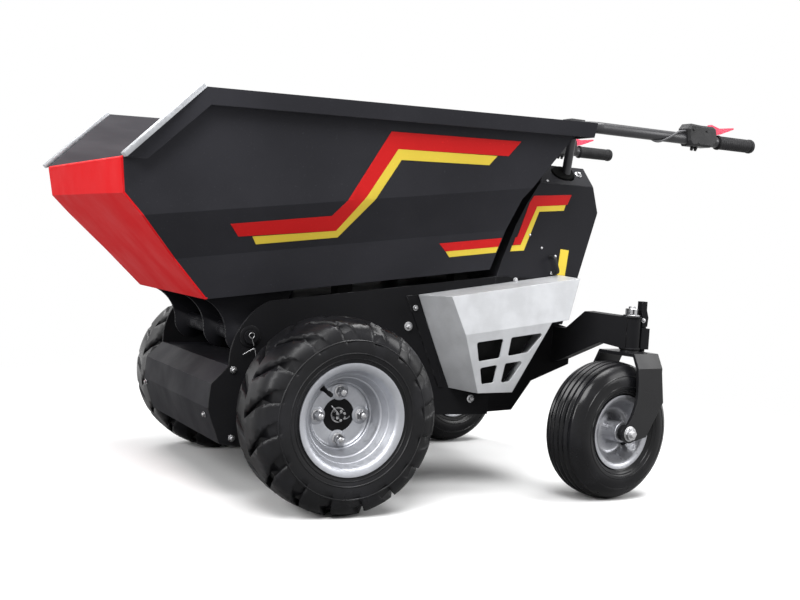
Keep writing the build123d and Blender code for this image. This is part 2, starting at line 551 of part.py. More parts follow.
with BuildPart() as swivel_locks:
    # plunger with a bent flat handle
    for side in (-1, 1):
        with Locations((bk(LOCK_BACK), side * SWIVEL_Y, FORK_TOP + SEAT)):
            Cylinder(LOCK_R, HEAD_LOW + 78.0 - FORK_TOP, align=(Align.CENTER, Align.CENTER, Align.MIN))
        with BuildSketch(Plane.XZ.offset(-side * SWIVEL_Y)):
            Polygon(*out_xz([(LOCK_BACK - 8.0, HEAD_LOW + 56.0), (LOCK_BACK + 7.0, HEAD_LOW + 56.0),
                             (LOCK_BACK + 9.0, HEAD_LOW + 78.0), (LOCK_BACK + 3.0, HEAD_LOW + 96.0),
                             (LOCK_BACK + 3.0, HEAD_LOW + 116.0), (LOCK_BACK - 13.0, HEAD_LOW + 116.0),
                             (LOCK_BACK - 13.0, HEAD_LOW + 94.0), (LOCK_BACK - 8.0, HEAD_LOW + 76.0)]),
                    align=None)
        extrude(amount=8.0, both=True)
swivel_locks.part.label = "swivel_locks"

# ---- silver side cover --------------------------------------------------------------------------
# A faceted pressing on the chassis plate, cut by its outer planes; then shelled and pierced.
COVER_T = 4.0
COVER_OUT = 345.0          # the cover stands out to here at its fold
BASE = [(244.0, 460.0), (285.0, 372.0), (329.0, 243.0), (374.0, 238.0), (474.0, 240.0), (559.0, 406.0),
        (606.0, 414.0), (637.0, 520.0)]
COVER_PLANES = [
    # three points of each outer plane, as (back, y, z): top, upper panel, lower panel, two front facets
    ((246.0, PLATE_Y, 454.0), (285.6, COVER_OUT - 6.0, 456.8), (634.3, COVER_OUT - 6.0, 512.0)),
    ((285.6, COVER_OUT - 6.0, 456.8), (634.3, COVER_OUT - 6.0, 512.0), (327.0, COVER_OUT, 372.6)),
    ((327.0, COVER_OUT, 372.6), (559.0, COVER_OUT, 406.0), (422.0, COVER_OUT - 20.0, 240.0)),
    ((285.0, PLATE_Y, 372.0), (327.0, COVER_OUT, 372.6), (374.0, COVER_OUT - 20.0, 238.5)),
    ((285.0, PLATE_Y, 372.0), (327.0, COVER_OUT, 372.6), (285.6, COVER_OUT - 6.0, 456.8)),
]
WINDOWS = [
    [(359, 356), (430, 366), (427, 321), (371, 312)],
    [(451, 369), (541, 382), (503, 335), (448, 325)],
    [(377, 297), (423, 305), (419, 263), (387, 259)],
    [(444, 308), (494, 315), (463, 266), (439, 262)],
]


def cover_solid(shrink):
    with BuildPart() as body:
        with BuildSketch(Plane.XZ.offset(-PLATE_Y)):
            Polygon(*out_xz(BASE), align=None)
            if shrink:
                offset(amount=-shrink, kind=Kind.INTERSECTION)
        extrude(amount=-100.0)
        for a, b, c in COVER_PLANES:
            pa, pb, pc = (Vector(bk(p[0]), p[1], p[2]) for p in (a, b, c))
            normal = (pb - pa).cross(pc - pa).normalized()
            # outwards is away from a point well inside the cover
            if normal.dot(pa - Vector(bk(430.0), PLATE_Y, 370.0)) < 0:
                normal = -normal
            split(bisect_by=Plane(origin=pa - normal * shrink, z_dir=normal), keep=Keep.BOTTOM)
    return body.part


with BuildPart() as side_cover_left:
    add(cover_solid(0.0))
    add(cover_solid(COVER_T), mode=Mode.SUBTRACT)
    for window in WINDOWS:
        with BuildSketch(Plane.XZ.offset(-300)):
            Polygon(*out_xz(window), align=None)
            fillet(vertices(), 5.0)
        extrude(amount=-100.0, mode=Mode.SUBTRACT)
side_cover_left.part.label = "side_cover_left"
with BuildPart() as side_cover_right:
    add(mirror(side_cover_left.part, about=Plane.XZ))
side_cover_right.part.label = "side_cover_right"

# ---- console ------------------------------------------------------------------------------------
CONSOLE_Y = 250.0
CONSOLE_FOOT = SHELF_TOP + SEAT
LID_Z = 735.0
CONSOLE = [(458.0, CONSOLE_FOOT), (470.0, 545.0), (501.0, 626.0), (529.0, 681.0), (564.0, LID_Z),
           (720.0, LID_Z), (738.0, 673.0), (690.0, CONSOLE_FOOT)]
with BuildPart() as console_shell:
    with BuildSketch(Plane.XZ):
        Polygon(*out_xz(CONSOLE), align=None)
    extrude(amount=CONSOLE_Y, both=True)
    with BuildSketch(Plane.XZ):
        Polygon(*out_xz([(440.0, CONSOLE_FOOT - 60)] + CONSOLE[1:-1] + [(673.0, CONSOLE_FOOT - 60)]),
                align=None)
        offset(amount=-SHEET, kind=Kind.INTERSECTION)
    extrude(amount=CONSOLE_Y - SHEET, both=True, mode=Mode.SUBTRACT)
console_shell.part.label = "console_shell"

LID_TOP = 782.0
LID_Y = 203.0
HOLE_R = 23.0
with BuildPart() as console_lid:
    # hood sloping in from the console's top edges
    with BuildSketch(Plane.XY.offset(LID_Z + SEAT)):
        with Locations((bk(642.0), 0)):
            Rectangle(156.0, 2 * CONSOLE_Y)
    with BuildSketch(Plane.XY.offset(LID_TOP)):
        with Locations((bk(660.0), 0)):
            Rectangle(120.0, 2 * LID_Y)
    loft(ruled=True)
    # pockets where the handlebar posts go in
    for side in (-1, 1):
        with Locations((bk(BAR_BACK), side * (POST_Y - 22.0), LID_Z + SEAT)):
            Cylinder(HOLE_R, 120.0, mode=Mode.SUBTRACT)
console_lid.part.label = "console_lid"

POST_R = 11.0
POST_LEAN = 10.0
with BuildPart() as handlebar_posts:
    for side in (-1, 1):
        # leans out from its foot on the console to the clamp under the bar
        with Locations(Location((bk(BAR_BACK), side * POST_Y, BAR_Z), (-side * POST_LEAN, 0, 0))):
            Cylinder(POST_R, 170.0, align=(Align.CENTER, Align.CENTER, Align.MAX))
        with Locations((bk(BAR_BACK), side * (POST_Y - 24.5), LID_Z + SEAT)):
            Cylinder(17.0, 6.0, align=(Align.CENTER, Align.CENTER, Align.MIN))
        with Locations((bk(BAR_BACK), side * POST_Y, BAR_Z)):
            Box(40.0, 36.0, 40.0)
    with BuildSketch(Plane.XY.offset(LID_Z + SEAT)):
        Rectangle(3000, 1200)
    extrude(amount=300.0, mode=Mode.INTERSECT)
    with BuildSketch(Plane.XZ):
        with Locations((bk(BAR_BACK), BAR_Z)):
            Circle(BAR_R)
    extrude(amount=400, both=True, mode=Mode.SUBTRACT)
handlebar_posts.part.label = "handlebar_posts"

CABLE_R = 2.5
CABLE_IN = 852.0
# one tube: left grip, forward, across behind the tub, and back to the right grip
with BuildPart() as handlebar:
    with BuildLine() as bar_path:
        FilletPolyline((bk(GRIP_END - 6), BAR_Y, BAR_Z), (bk(BAR_BACK), BAR_Y, BAR_Z),
                       (bk(BAR_BACK), -BAR_Y, BAR_Z), (bk(GRIP_END - 6), -BAR_Y, BAR_Z), radius=38.0)
    with BuildSketch(Plane(origin=(bk(GRIP_END - 6), BAR_Y, BAR_Z), z_dir=(1, 0, 0))):
        Circle(BAR_R)
    sweep(path=bar_path.wire())
    # the cables go into the bar from below
    for side in (-1, 1):
        with Locations((bk(CABLE_IN), side * BAR_Y, BAR_Z - BAR_R)):
            Cylinder(CABLE_R + 0.4, 20.0, mode=Mode.SUBTRACT)
handlebar.part.label = "handlebar"

with BuildPart() as grip_left:
    with BuildSketch(Plane.YZ.offset(bk(GRIP_END))):
        with Locations((BAR_Y, BAR_Z)):
            Circle(GRIP_R + 1.5)
    extrude(amount=GRIP_END - GRIP_START)
    with BuildSketch(Plane.YZ.offset(bk(GRIP_END - 6))):
        with Locations((BAR_Y, BAR_Z)):
            Circle(BAR_R)
    extrude(amount=200, mode=Mode.SUBTRACT)
grip_left.part.label = "grip_left"
with BuildPart() as grip_right:
    add(mirror(grip_left.part, about=Plane.XZ))
grip_right.part.label = "grip_right"

CONTROL_FROM, CONTROL_TO = 954.0, 1048.0
CONTROL_UP = 13.0          # the control's middle stands this far over the bar
with BuildPart() as control_left:
    with BuildSketch(Plane.XZ.offset(-BAR_Y)):
        Polygon(*out_xz([(CONTROL_FROM, BAR_Z - 6.0), (CONTROL_FROM - 4.0, BAR_Z + 24.0),
                         (CONTROL_FROM + 6.0, BAR_Z + 37.0), (CONTROL_FROM + 40.0, BAR_Z + 35.0),
                         (CONTROL_TO - 18.0, BAR_Z + 36.0), (CONTROL_TO - 6.0, BAR_Z + 30.0),
                         (CONTROL_TO, BAR_Z - 4.0), (CONTROL_TO - 22.0, BAR_Z - 17.5),
                         (CONTROL_FROM + 10.0, BAR_Z - 17.5)]), align=None)
    extrude(amount=22.0, both=True)
    chamfer(edges().group_by(Axis.Y)[0] + edges().group_by(Axis.Y)[-1], 5.0)
    with BuildSketch(Plane.YZ.offset(bk(GRIP_END))):
        with Locations((BAR_Y, BAR_Z)):
            Circle(BAR_R)
    extrude(amount=400, mode=Mode.SUBTRACT)
    with Locations((bk(CONTROL_FROM), BAR_Y + 8.0, BAR_Z + CONTROL_UP + 5.0)):
        Cylinder(CABLE_R + 0.4, 24.0, rotation=(0, 90, 0), mode=Mode.SUBTRACT)
control_left.part.label = "control_left"
with BuildPart() as control_right:
    add(mirror(control_left.part, about=Plane.XZ))
control_right.part.label = "control_right"

with BuildPart() as lever_left:
    # thumb lever on top of the control, with its tail below
    with BuildSketch(Plane.XZ.offset(-BAR_Y)):
        Polygon(*out_xz([(CONTROL_TO + SEAT, BAR_Z + 16.0), (CONTROL_TO - 5.0, BAR_Z + 30.5),
                         (CONTROL_TO - 17.0, BAR_Z + 36.5), (CONTROL_TO - 12.0, BAR_Z + 42.0),
                         (CONTROL_TO + 14.0, BAR_Z + 35.0), (CONTROL_TO + 62.0, BAR_Z + 41.0),
                         (CONTROL_TO + 62.0, BAR_Z + 37.0), (CONTROL_TO + 20.0, BAR_Z + 21.0)]), align=None)
    extrude(amount=7.0, both=True)
lever_left.part.label = "lever_left"
with BuildPart() as lever_right:
    add(mirror(lever_left.part, about=Plane.XZ))
lever_right.part.label = "lever_right"

# each control's cable runs down the outside of the bar and up into it
with BuildPart() as control_cables:
    for side in (-1, 1):
        with BuildLine() as cable_path:
            FilletPolyline((bk(CONTROL_FROM + 8.0), side * (BAR_Y + 8.0), BAR_Z + 18.0),
                           (bk(CONTROL_FROM - 22.0), side * (BAR_Y + 8.0), BAR_Z + 18.0),
                           (bk(912.0), side * (BAR_Y + 19.0), BAR_Z + 4.0),
                           (bk(886.0), side * (BAR_Y + 16.0), BAR_Z - 12.0),
                           (bk(CABLE_IN), side * BAR_Y, BAR_Z - 28.0),
                           (bk(CABLE_IN), side * BAR_Y, BAR_Z - BAR_R + 7.0), radius=9.0)
        with BuildSketch(Plane(origin=(bk(CONTROL_FROM + 8.0), side * (BAR_Y + 8.0), BAR_Z + 18.0),
                               z_dir=(1, 0, 0))):
            Circle(CABLE_R)
        sweep(path=cable_path.wire())
control_cables.part.label = "control_cables"

# small pull handle on the console's left side
with BuildPart() as pull_handle:
    with BuildLine() as pull_path:
        FilletPolyline((bk(606.0), CONSOLE_Y, 558.0), (bk(606.0), CONSOLE_Y + 20.0, 558.0),
                       (bk(620.0), CONSOLE_Y + 20.0, 522.0), (bk(620.0), CONSOLE_Y, 522.0), radius=7.0)
    with BuildSketch(Plane(origin=(bk(606.0), CONSOLE_Y, 558.0), z_dir=(0, 1, 0))):
        Circle(4.0)
    sweep(path=pull_path.wire())
pull_handle.part.label = "pull_handle"

# rubber rests between the deck and the tub's floor
with BuildPart() as tub_rests:
    for back in (90.0, 390.0):
        for side in (-1, 1):
            with BuildSketch(Plane.XZ.offset(-side * 180.0)):
                Polygon(*out_xz([
                    (back - 18, deck_z(back - 18) - 10), (back + 18, deck_z(back + 18) - 10),
                    (back + 18, FLOOR_Z + FLOOR_SLOPE * (back + 18) - SEAT),
                    (back - 18, FLOOR_Z + FLOOR_SLOPE * (back - 18) - SEAT)]), align=None)
            extrude(amount=18.0, both=True)
tub_rests.part.label = "tub_rests"

# ---- export -------------------------------------------------------------------------------------
for piece in (tub_shell, tub_nose, tub_ribs, chassis_plate_left, chassis_plate_right, front_cover,
              chassis_deck, belly_pan, tub_pivot_shaft, power_block, drive_axle, rear_body, rear_shelf,
              drive_tyre_left, drive_rim_left, drive_hub_left, drive_tyre_right, drive_rim_right,
              drive_hub_right, castor_arm_left, castor_arm_right, swivel_locks, side_cover_left,
              side_cover_right, console_shell, console_lid,
              handlebar_posts, handlebar, control_cables, grip_left, grip_right, control_left, control_right,
              lever_left, lever_right, pull_handle, tub_rests):
    export_step(piece.part, f"parts/{piece.part.label}.step")
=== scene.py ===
import bpy
import bmesh
import math
from mathutils import Matrix, Vector
from mathutils.bvhtree import BVHTree


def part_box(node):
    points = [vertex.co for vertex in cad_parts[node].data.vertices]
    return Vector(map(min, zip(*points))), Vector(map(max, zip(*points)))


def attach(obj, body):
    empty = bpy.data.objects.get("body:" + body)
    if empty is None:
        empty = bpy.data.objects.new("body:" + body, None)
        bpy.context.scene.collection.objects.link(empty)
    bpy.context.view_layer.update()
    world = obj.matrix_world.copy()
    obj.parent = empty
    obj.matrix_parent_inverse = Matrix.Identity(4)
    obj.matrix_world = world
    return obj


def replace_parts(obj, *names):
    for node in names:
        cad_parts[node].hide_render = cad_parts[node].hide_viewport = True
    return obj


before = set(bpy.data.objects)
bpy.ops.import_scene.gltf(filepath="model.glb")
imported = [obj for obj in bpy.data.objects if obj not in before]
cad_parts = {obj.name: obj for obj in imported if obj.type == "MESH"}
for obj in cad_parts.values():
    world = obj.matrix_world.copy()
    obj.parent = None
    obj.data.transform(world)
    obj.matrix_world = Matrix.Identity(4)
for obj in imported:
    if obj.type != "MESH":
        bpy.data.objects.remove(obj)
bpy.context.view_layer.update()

scene = bpy.context.scene

# ---- View and studio ----------------------------------------------------------------------------
# A pale studio floor that fades to white, five soft lamps, and a camera low off the front left corner.
# Only what is looked at is white; the machine itself is lit at a plain level.
CAMERA_AT = Vector((1.3757, 2.5909, 0.5697))
CAMERA_HEADING = math.radians(62.35)
CAMERA_PITCH = math.radians(2.79)
CAMERA_ROLL = math.radians(3.56)
CAMERA_LENS = 52.59

ahead = Vector((-math.cos(CAMERA_HEADING) * math.cos(CAMERA_PITCH),
                -math.sin(CAMERA_HEADING) * math.cos(CAMERA_PITCH), -math.sin(CAMERA_PITCH)))
level_right = Vector((-math.sin(CAMERA_HEADING), math.cos(CAMERA_HEADING), 0.0))
level_up = level_right.cross(ahead)
right = level_right * math.cos(CAMERA_ROLL) + level_up * math.sin(CAMERA_ROLL)
up = level_up * math.cos(CAMERA_ROLL) - level_right * math.sin(CAMERA_ROLL)
camera_data = bpy.data.cameras.new("studio_camera")
camera_data.lens = CAMERA_LENS
camera = bpy.data.objects.new("studio_camera", camera_data)
camera.matrix_world = Matrix((
    (right.x, up.x, -ahead.x, CAMERA_AT.x),
    (right.y, up.y, -ahead.y, CAMERA_AT.y),
    (right.z, up.z, -ahead.z, CAMERA_AT.z),
    (0.0, 0.0, 0.0, 1.0)))
scene.collection.objects.link(camera)
scene.camera = camera
scene.view_settings.view_transform = "Standard"


def seen_by(nodes, links, rays):
    """One where a ray of the named kinds looks, which is what picks the plain white."""
    ray = nodes.new("ShaderNodeLightPath")
    seen = ray.outputs[rays[0]]
    for more in rays[1:]:
        either = nodes.new("ShaderNodeMath")
        either.operation = "MAXIMUM"
        links.new(seen, either.inputs[0])
        links.new(ray.outputs[more], either.inputs[1])
        seen = either.outputs[0]
    return seen


ROOM_LIGHT = 0.30                  # strength of the surroundings as they light the machine
WHITE = (1.0, 1.0, 1.0, 1.0)
world = bpy.data.worlds.new("studio")
scene.world = world
world.use_nodes = True
nodes, links = world.node_tree.nodes, world.node_tree.links
lit = nodes["Background"]
lit.inputs["Color"].default_value = WHITE
lit.inputs["Strength"].default_value = ROOM_LIGHT
plain = nodes.new("ShaderNodeBackground")
plain.inputs["Color"].default_value = WHITE
choose = nodes.new("ShaderNodeMixShader")
seen = seen_by(nodes, links, ("Is Camera Ray", "Is Glossy Ray", "Is Transmission Ray"))
links.new(seen, choose.inputs["Fac"])
links.new(lit.outputs["Background"], choose.inputs[1])
links.new(plain.outputs["Background"], choose.inputs[2])
links.new(choose.outputs["Shader"], nodes["World Output"].inputs["Surface"])

LAMP_AIM = Vector((0.0, 0.0, 0.4))
LAMPS = (
    # name, place, metres across, watts
    ("key", (1.8, 2.9, 4.3), 2.4, 230.0),
    ("front", (4.2, 1.6, 2.4), 2.0, 140.0),
    ("side", (-3.4, 2.6, 2.2), 2.0, 80.0),
    ("top", (-1.2, 0.5, 4.4), 2.0, 170.0),
    ("far", (0.6, -3.4, 3.3), 2.2, 100.0),
)
for name, place, across, watts in LAMPS:
    lamp_data = bpy.data.lights.new(name, "AREA")
    lamp_data.size = across
    lamp_data.energy = watts
    lamp = bpy.data.objects.new(name, lamp_data)
    lamp.location = place
    lamp.rotation_euler = (LAMP_AIM - Vector(place)).to_track_quat("-Z", "Y").to_euler()
    scene.collection.objects.link(lamp)

FLOOR_HALF = 30.0
FADE_FROM, FADE_TO = 0.6, 2.2      # the floor's own shade gives way to white between these radii
FLOOR_BOUNCE = 0.26                # what the floor throws back on the machine
FLOOR_SEEN = 0.90                  # what is seen of it
bm = bmesh.new()
bmesh.ops.create_grid(bm, x_segments=1, y_segments=1, size=FLOOR_HALF)
floor_mesh = bpy.data.meshes.new("floor")
bm.to_mesh(floor_mesh)
bm.free()
floor = bpy.data.objects.new("floor", floor_mesh)
scene.collection.objects.link(floor)
studio_floor = bpy.data.materials.new("studio_floor")
studio_floor.use_nodes = True
nodes, links = studio_floor.node_tree.nodes, studio_floor.node_tree.links
matt = nodes["Principled BSDF"]
shade = nodes.new("ShaderNodeMix")
shade.data_type = "RGBA"
shade.inputs[6].default_value = (FLOOR_BOUNCE, FLOOR_BOUNCE, FLOOR_BOUNCE, 1.0)
shade.inputs[7].default_value = (FLOOR_SEEN, FLOOR_SEEN, FLOOR_SEEN, 1.0)
links.new(seen_by(nodes, links, ("Is Camera Ray",)), shade.inputs[0])
links.new(shade.outputs[2], matt.inputs["Base Color"])
matt.inputs["Roughness"].default_value = 0.9
matt.inputs["Specular IOR Level"].default_value = 0.1
white = nodes.new("ShaderNodeEmission")
where = nodes.new("ShaderNodeTexCoord")
reach = nodes.new("ShaderNodeVectorMath")
reach.operation = "LENGTH"
links.new(where.outputs["Object"], reach.inputs[0])
fade = nodes.new("ShaderNodeMapRange")
fade.interpolation_type = "SMOOTHSTEP"
fade.inputs["From Min"].default_value = FADE_FROM
fade.inputs["From Max"].default_value = FADE_TO
links.new(reach.outputs["Value"], fade.inputs["Value"])
seen = seen_by(nodes, links, ("Is Camera Ray", "Is Glossy Ray"))
share = nodes.new("ShaderNodeMath")
share.operation = "MULTIPLY"
links.new(seen, share.inputs[0])
links.new(fade.outputs["Result"], share.inputs[1])
choose = nodes.new("ShaderNodeMixShader")
links.new(share.outputs[0], choose.inputs["Fac"])
links.new(matt.outputs["BSDF"], choose.inputs[1])
links.new(white.outputs["Emission"], choose.inputs[2])
links.new(choose.outputs["Shader"], nodes["Material Output"].inputs["Surface"])
floor_mesh.materials.append(studio_floor)

# ---- Tub ----------------------------------------------------------------------------------------
# The load tub: folded steel sheet with a flanged rim, powder coated charcoal, its pouring nose in red.
# It hangs on three hinge ribs and a cross tube welded under it. Red and yellow films run along its sides.
drive_low, drive_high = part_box("drive_tyre_left")
AXLE_X = (drive_low[0] + drive_high[0]) / 2
AXLE_Z = (drive_low[2] + drive_high[2]) / 2
SIDES = ((1, "left"), (-1, "right"))
CLEAR_SIDE = 600.0                 # rays at a side wall start this far out, in millimetres


def at(behind, y, z):
    """A place given in millimetres: behind the drive axle, to the left, and up."""
    return Vector((AXLE_X - behind / 1000, y / 1000, z / 1000))


def noise(nodes, links, place, scale, detail, stretch=None):
    """Cloudy noise on the piece's own coordinates; `stretch` draws it out along an axis."""
    texture = nodes.new("ShaderNodeTexNoise")
    texture.inputs["Scale"].default_value = scale
    texture.inputs["Detail"].default_value = detail
    texture.inputs["Roughness"].default_value = 0.5
    source = place.outputs["Object"]
    if stretch:
        mapping = nodes.new("ShaderNodeMapping")
        mapping.inputs["Scale"].default_value = stretch
        links.new(source, mapping.inputs["Vector"])
        source = mapping.outputs["Vector"]
    links.new(source, texture.inputs["Vector"])
    return texture.outputs["Fac"]


def ramp(nodes, links, source, low, high, to_low=0.0, to_high=1.0):
    """A smooth step of a value, from low to high."""
    band = nodes.new("ShaderNodeMapRange")
    band.interpolation_type = "SMOOTHSTEP"
    band.inputs["From Min"].default_value = low
    band.inputs["From Max"].default_value = high
    band.inputs["To Min"].default_value = to_low
    band.inputs["To Max"].default_value = to_high
    links.new(source, band.inputs["Value"])
    return band.outputs["Result"]


def tint(nodes, links, share, dark, light):
    """Mixes two colours by a share; each is a plain colour or a socket."""
    mix = nodes.new("ShaderNodeMix")
    mix.data_type = "RGBA"
    for socket, shade in ((6, dark), (7, light)):
        if isinstance(shade, tuple):
            mix.inputs[socket].default_value = (*shade, 1.0)
        else:
            links.new(shade, mix.inputs[socket])
    links.new(share, mix.inputs[0])
    return mix.outputs[2]


def product(nodes, links, first, second):
    """Multiplies two values; each is a number or a socket."""
    times = nodes.new("ShaderNodeMath")
    times.operation = "MULTIPLY"
    for socket, value in ((0, first), (1, second)):
        if isinstance(value, float):
            times.inputs[socket].default_value = value
        else:
            links.new(value, times.inputs[socket])
    return times.outputs[0]


def shifted(colour, by):
    """A colour made lighter or darker."""
    return tuple(min(1.0, c * by) for c in colour)


def new_finish(name):
    """A new material, with its nodes and links, its shader, and the piece's own coordinates."""
    material = bpy.data.materials.new(name)
    material.use_nodes = True
    nodes, links = material.node_tree.nodes, material.node_tree.links
    return material, nodes, links, nodes["Principled BSDF"], nodes.new("ShaderNodeTexCoord")


def rounded_corners(nodes, radius):
    """The normal of a sheet or casting with its corners rounded."""
    rounded = nodes.new("ShaderNodeBevel")
    rounded.samples = 4
    rounded.inputs["Radius"].default_value = radius
    return rounded.outputs["Normal"]


def rubbed_and_highlit_corners(nodes, links, place, normal):
    """A mask of the worn corners, and of a painted highlight along them: where the rounded normal turns
    off the true one, in patches.
    """
    true = nodes.new("ShaderNodeNewGeometry")
    along = nodes.new("ShaderNodeVectorMath")
    along.operation = "DOT_PRODUCT"
    links.new(normal, along.inputs[0])
    links.new(true.outputs["Normal"], along.inputs[1])
    turn_off = ramp(nodes, links, along.outputs["Value"], 0.995, 0.90)
    patchy = ramp(nodes, links, noise(nodes, links, place, 38.0, 5.0), 0.47, 0.62)
    return product(nodes, links, turn_off, patchy)


def grained(nodes, links, shader, height, strength, depth, normal):
    """Gives a shader its fine relief, over the rounded corners where there are any."""
    bump = nodes.new("ShaderNodeBump")
    bump.inputs["Strength"].default_value = strength
    bump.inputs["Distance"].default_value = depth
    links.new(height, bump.inputs["Height"])
    if normal:
        links.new(normal, bump.inputs["Normal"])
    links.new(bump.outputs["Normal"], shader.inputs["Normal"])


BARE_STEEL_AND_HIGHLIGHT = (0.22, 0.22, 0.23)    # what a rubbed edge shows, and the painted highlight along the edges
INNER_SHEEN_AND_SCUFFS = (0.078, 0.078, 0.085)    # the tub's inner faces painted paler: a painted reflection, in streaks like scuff marks from loads


def powder_coat(name, colour, rough, sheen=0.14, drift=0.16, rub_and_highlight=0.5, peel=0.12, inside=None):
    """Baked powder paint on steel: slow drift of shade, orange peel, and edges rubbed thin, painted pale
    also as a highlight.

    `inside` is a point that a hollow piece's inner faces look at; those are painted paler, a painted
    reflection in scuffed streaks.
    """
    material, nodes, links, shader, place = new_finish(name)
    shader.inputs["Specular IOR Level"].default_value = sheen
    cloud = noise(nodes, links, place, 3.2, 4.0)
    clouded = ramp(nodes, links, cloud, 0.3, 0.7)
    coat = tint(nodes, links, clouded, shifted(colour, 1 - drift), shifted(colour, 1 + drift))
    speck = ramp(nodes, links, noise(nodes, links, place, 240.0, 2.0), 0.66, 0.74)
    coat = tint(nodes, links, product(nodes, links, speck, 0.35), coat, shifted(colour, 1.9))
    if inside:
        # inner faces painted paler: a painted reflection, broken into scuffed streaks
        to_middle = nodes.new("ShaderNodeVectorMath")
        to_middle.operation = "SUBTRACT"
        to_middle.inputs[0].default_value = inside
        links.new(place.outputs["Object"], to_middle.inputs[1])
        looks = nodes.new("ShaderNodeVectorMath")
        looks.operation = "DOT_PRODUCT"
        links.new(to_middle.outputs["Vector"], looks.inputs[0])
        links.new(place.outputs["Normal"], looks.inputs[1])
        streaks = noise(nodes, links, place, 14.0, 7.0, stretch=(0.4, 1.0, 2.0))
        scuffed_sheen = ramp(nodes, links, streaks, 0.3, 0.75, 0.55, 1.0)
        inner = product(nodes, links, ramp(nodes, links, looks.outputs["Value"], 0.0, 0.03), scuffed_sheen)
        coat = tint(nodes, links, inner, coat, INNER_SHEEN_AND_SCUFFS)
    # edges painted pale in patches: rubbed-through wear, and a painted highlight along them
    normal = rounded_corners(nodes, 0.0014)
    wear_and_highlight = product(nodes, links, rubbed_and_highlit_corners(nodes, links, place, normal), rub_and_highlight)
    links.new(tint(nodes, links, wear_and_highlight, coat, BARE_STEEL_AND_HIGHLIGHT), shader.inputs["Base Color"])
    haze = noise(nodes, links, place, 11.0, 5.0)
    dull = ramp(nodes, links, haze, 0.25, 0.75, rough - 0.07, rough + 0.09)
    links.new(dull, shader.inputs["Roughness"])
    grained(nodes, links, shader, noise(nodes, links, place, 520.0, 2.0), peel, 0.0004, normal)
    return material


def plated(name, colour, rough, cloudy, metallic=1.0, brushed=None, edge=0.0009, uneven=0.12):
    """Bare, plated or silver painted metal: cloudy colour, a fine grain, and a gloss that varies."""
    material, nodes, links, shader, place = new_finish(name)
    shader.inputs["Metallic"].default_value = metallic
    cloud = noise(nodes, links, place, 22.0, 5.0)
    clouded = ramp(nodes, links, cloud, 0.3, 0.7)
    metal = tint(nodes, links, clouded, shifted(colour, 1 - cloudy), shifted(colour, 1 + cloudy / 2))
    links.new(metal, shader.inputs["Base Color"])
    grain = noise(nodes, links, place, 160.0, 3.0, stretch=brushed)
    dull = ramp(nodes, links, grain, 0.25, 0.75, rough - 0.08, rough + 0.12)
    links.new(dull, shader.inputs["Roughness"])
    normal = rounded_corners(nodes, edge) if edge else None
    grained(nodes, links, shader, grain, uneven, 0.0003, normal)
    return material


def dress(finish, *names):
    """Gives CAD nodes their finish."""
    for name in names:
        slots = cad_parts[name].data.materials
        slots.clear()
        slots.append(finish)


def skin(name):
    """The surface of a CAD node, to find where a bolt or a film lies on it."""
    copy = bmesh.new()
    copy.from_mesh(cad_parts[name].data)
    tree = BVHTree.FromBMesh(copy)
    copy.free()
    return tree


def facing(place, along):
    """Matrix that stands a piece made about the Z axis on a place, pointing along a direction."""
    return Matrix.Translation(place) @ Vector(along).to_track_quat("Z", "X").to_matrix().to_4x4()


def turned(bm, outline, place, along, steps):
    """Turns an outline of (height, radius) points, in millimetres, about an axis through a place."""
    corners = [bm.verts.new((radius / 1000, 0.0, height / 1000)) for height, radius in outline]
    edges = [bm.edges.new(pair) for pair in zip(corners, corners[1:])]
    old = set(bm.verts) - set(corners)
    bmesh.ops.spin(bm, geom=corners + edges, cent=(0, 0, 0), axis=(0, 0, 1), dvec=(0, 0, 0),
                   angle=math.tau, steps=steps, use_merge=True, use_duplicate=False)
    new = [v for v in bm.verts if v not in old]
    bmesh.ops.remove_doubles(bm, verts=new, dist=1e-6)
    new = [v for v in bm.verts if v not in old]
    bmesh.ops.recalc_face_normals(bm, faces=list({f for v in new for f in v.link_faces}))
    bmesh.ops.transform(bm, matrix=facing(place, along), verts=new)


def prism(bm, sides, radius, low, high, place, along, ease, turn=0.0):
    """A bar with so many sides, its end corners eased, in millimetres."""
    made = bmesh.ops.create_cone(bm, cap_ends=True, segments=sides, radius1=radius / 1000,
                                 radius2=radius / 1000, depth=(high - low) / 1000)
    verts = made["verts"]
    rims = [e for e in {e for v in verts for e in v.link_edges}
            if abs(e.verts[0].co.z - e.verts[1].co.z) < 1e-7]
    eased = bmesh.ops.bevel(bm, geom=rims, offset=ease / 1000, offset_type="OFFSET",
                            affect="EDGES", segments=1, profile=0.5, material=-1)
    verts = list({v for v in verts if v.is_valid} | set(eased["verts"]))
    lift = Matrix.Translation((0, 0, (low + high) / 2000))
    stand = facing(place, along) @ Matrix.Rotation(turn, 4, "Z") @ lift
    bmesh.ops.transform(bm, matrix=stand, verts=verts)


def bolt(bm, place, along, across, washer=True):
    """Hexagon head, domed on top, on a plain washer; `across` is the head's width over its corners."""
    r = across / 2
    if washer:
        turned(bm, [(0.0, 0.0), (0.0, r * 1.45), (1.1, r * 1.5), (1.5, r * 1.4), (1.5, 0.0)],
               place, along, 24)
    low = 1.5 if washer else 0.0
    prism(bm, 6, r, low, low + r * 0.95, place, along, 0.7, turn=0.3)
    turned(bm, [(low + r * 0.5, 0.0), (low + r * 0.5, r * 0.7), (low + r * 1.0, r * 0.68),
                (low + r * 1.12, r * 0.45), (low + r * 1.05, 0.0)], place, along, 16)


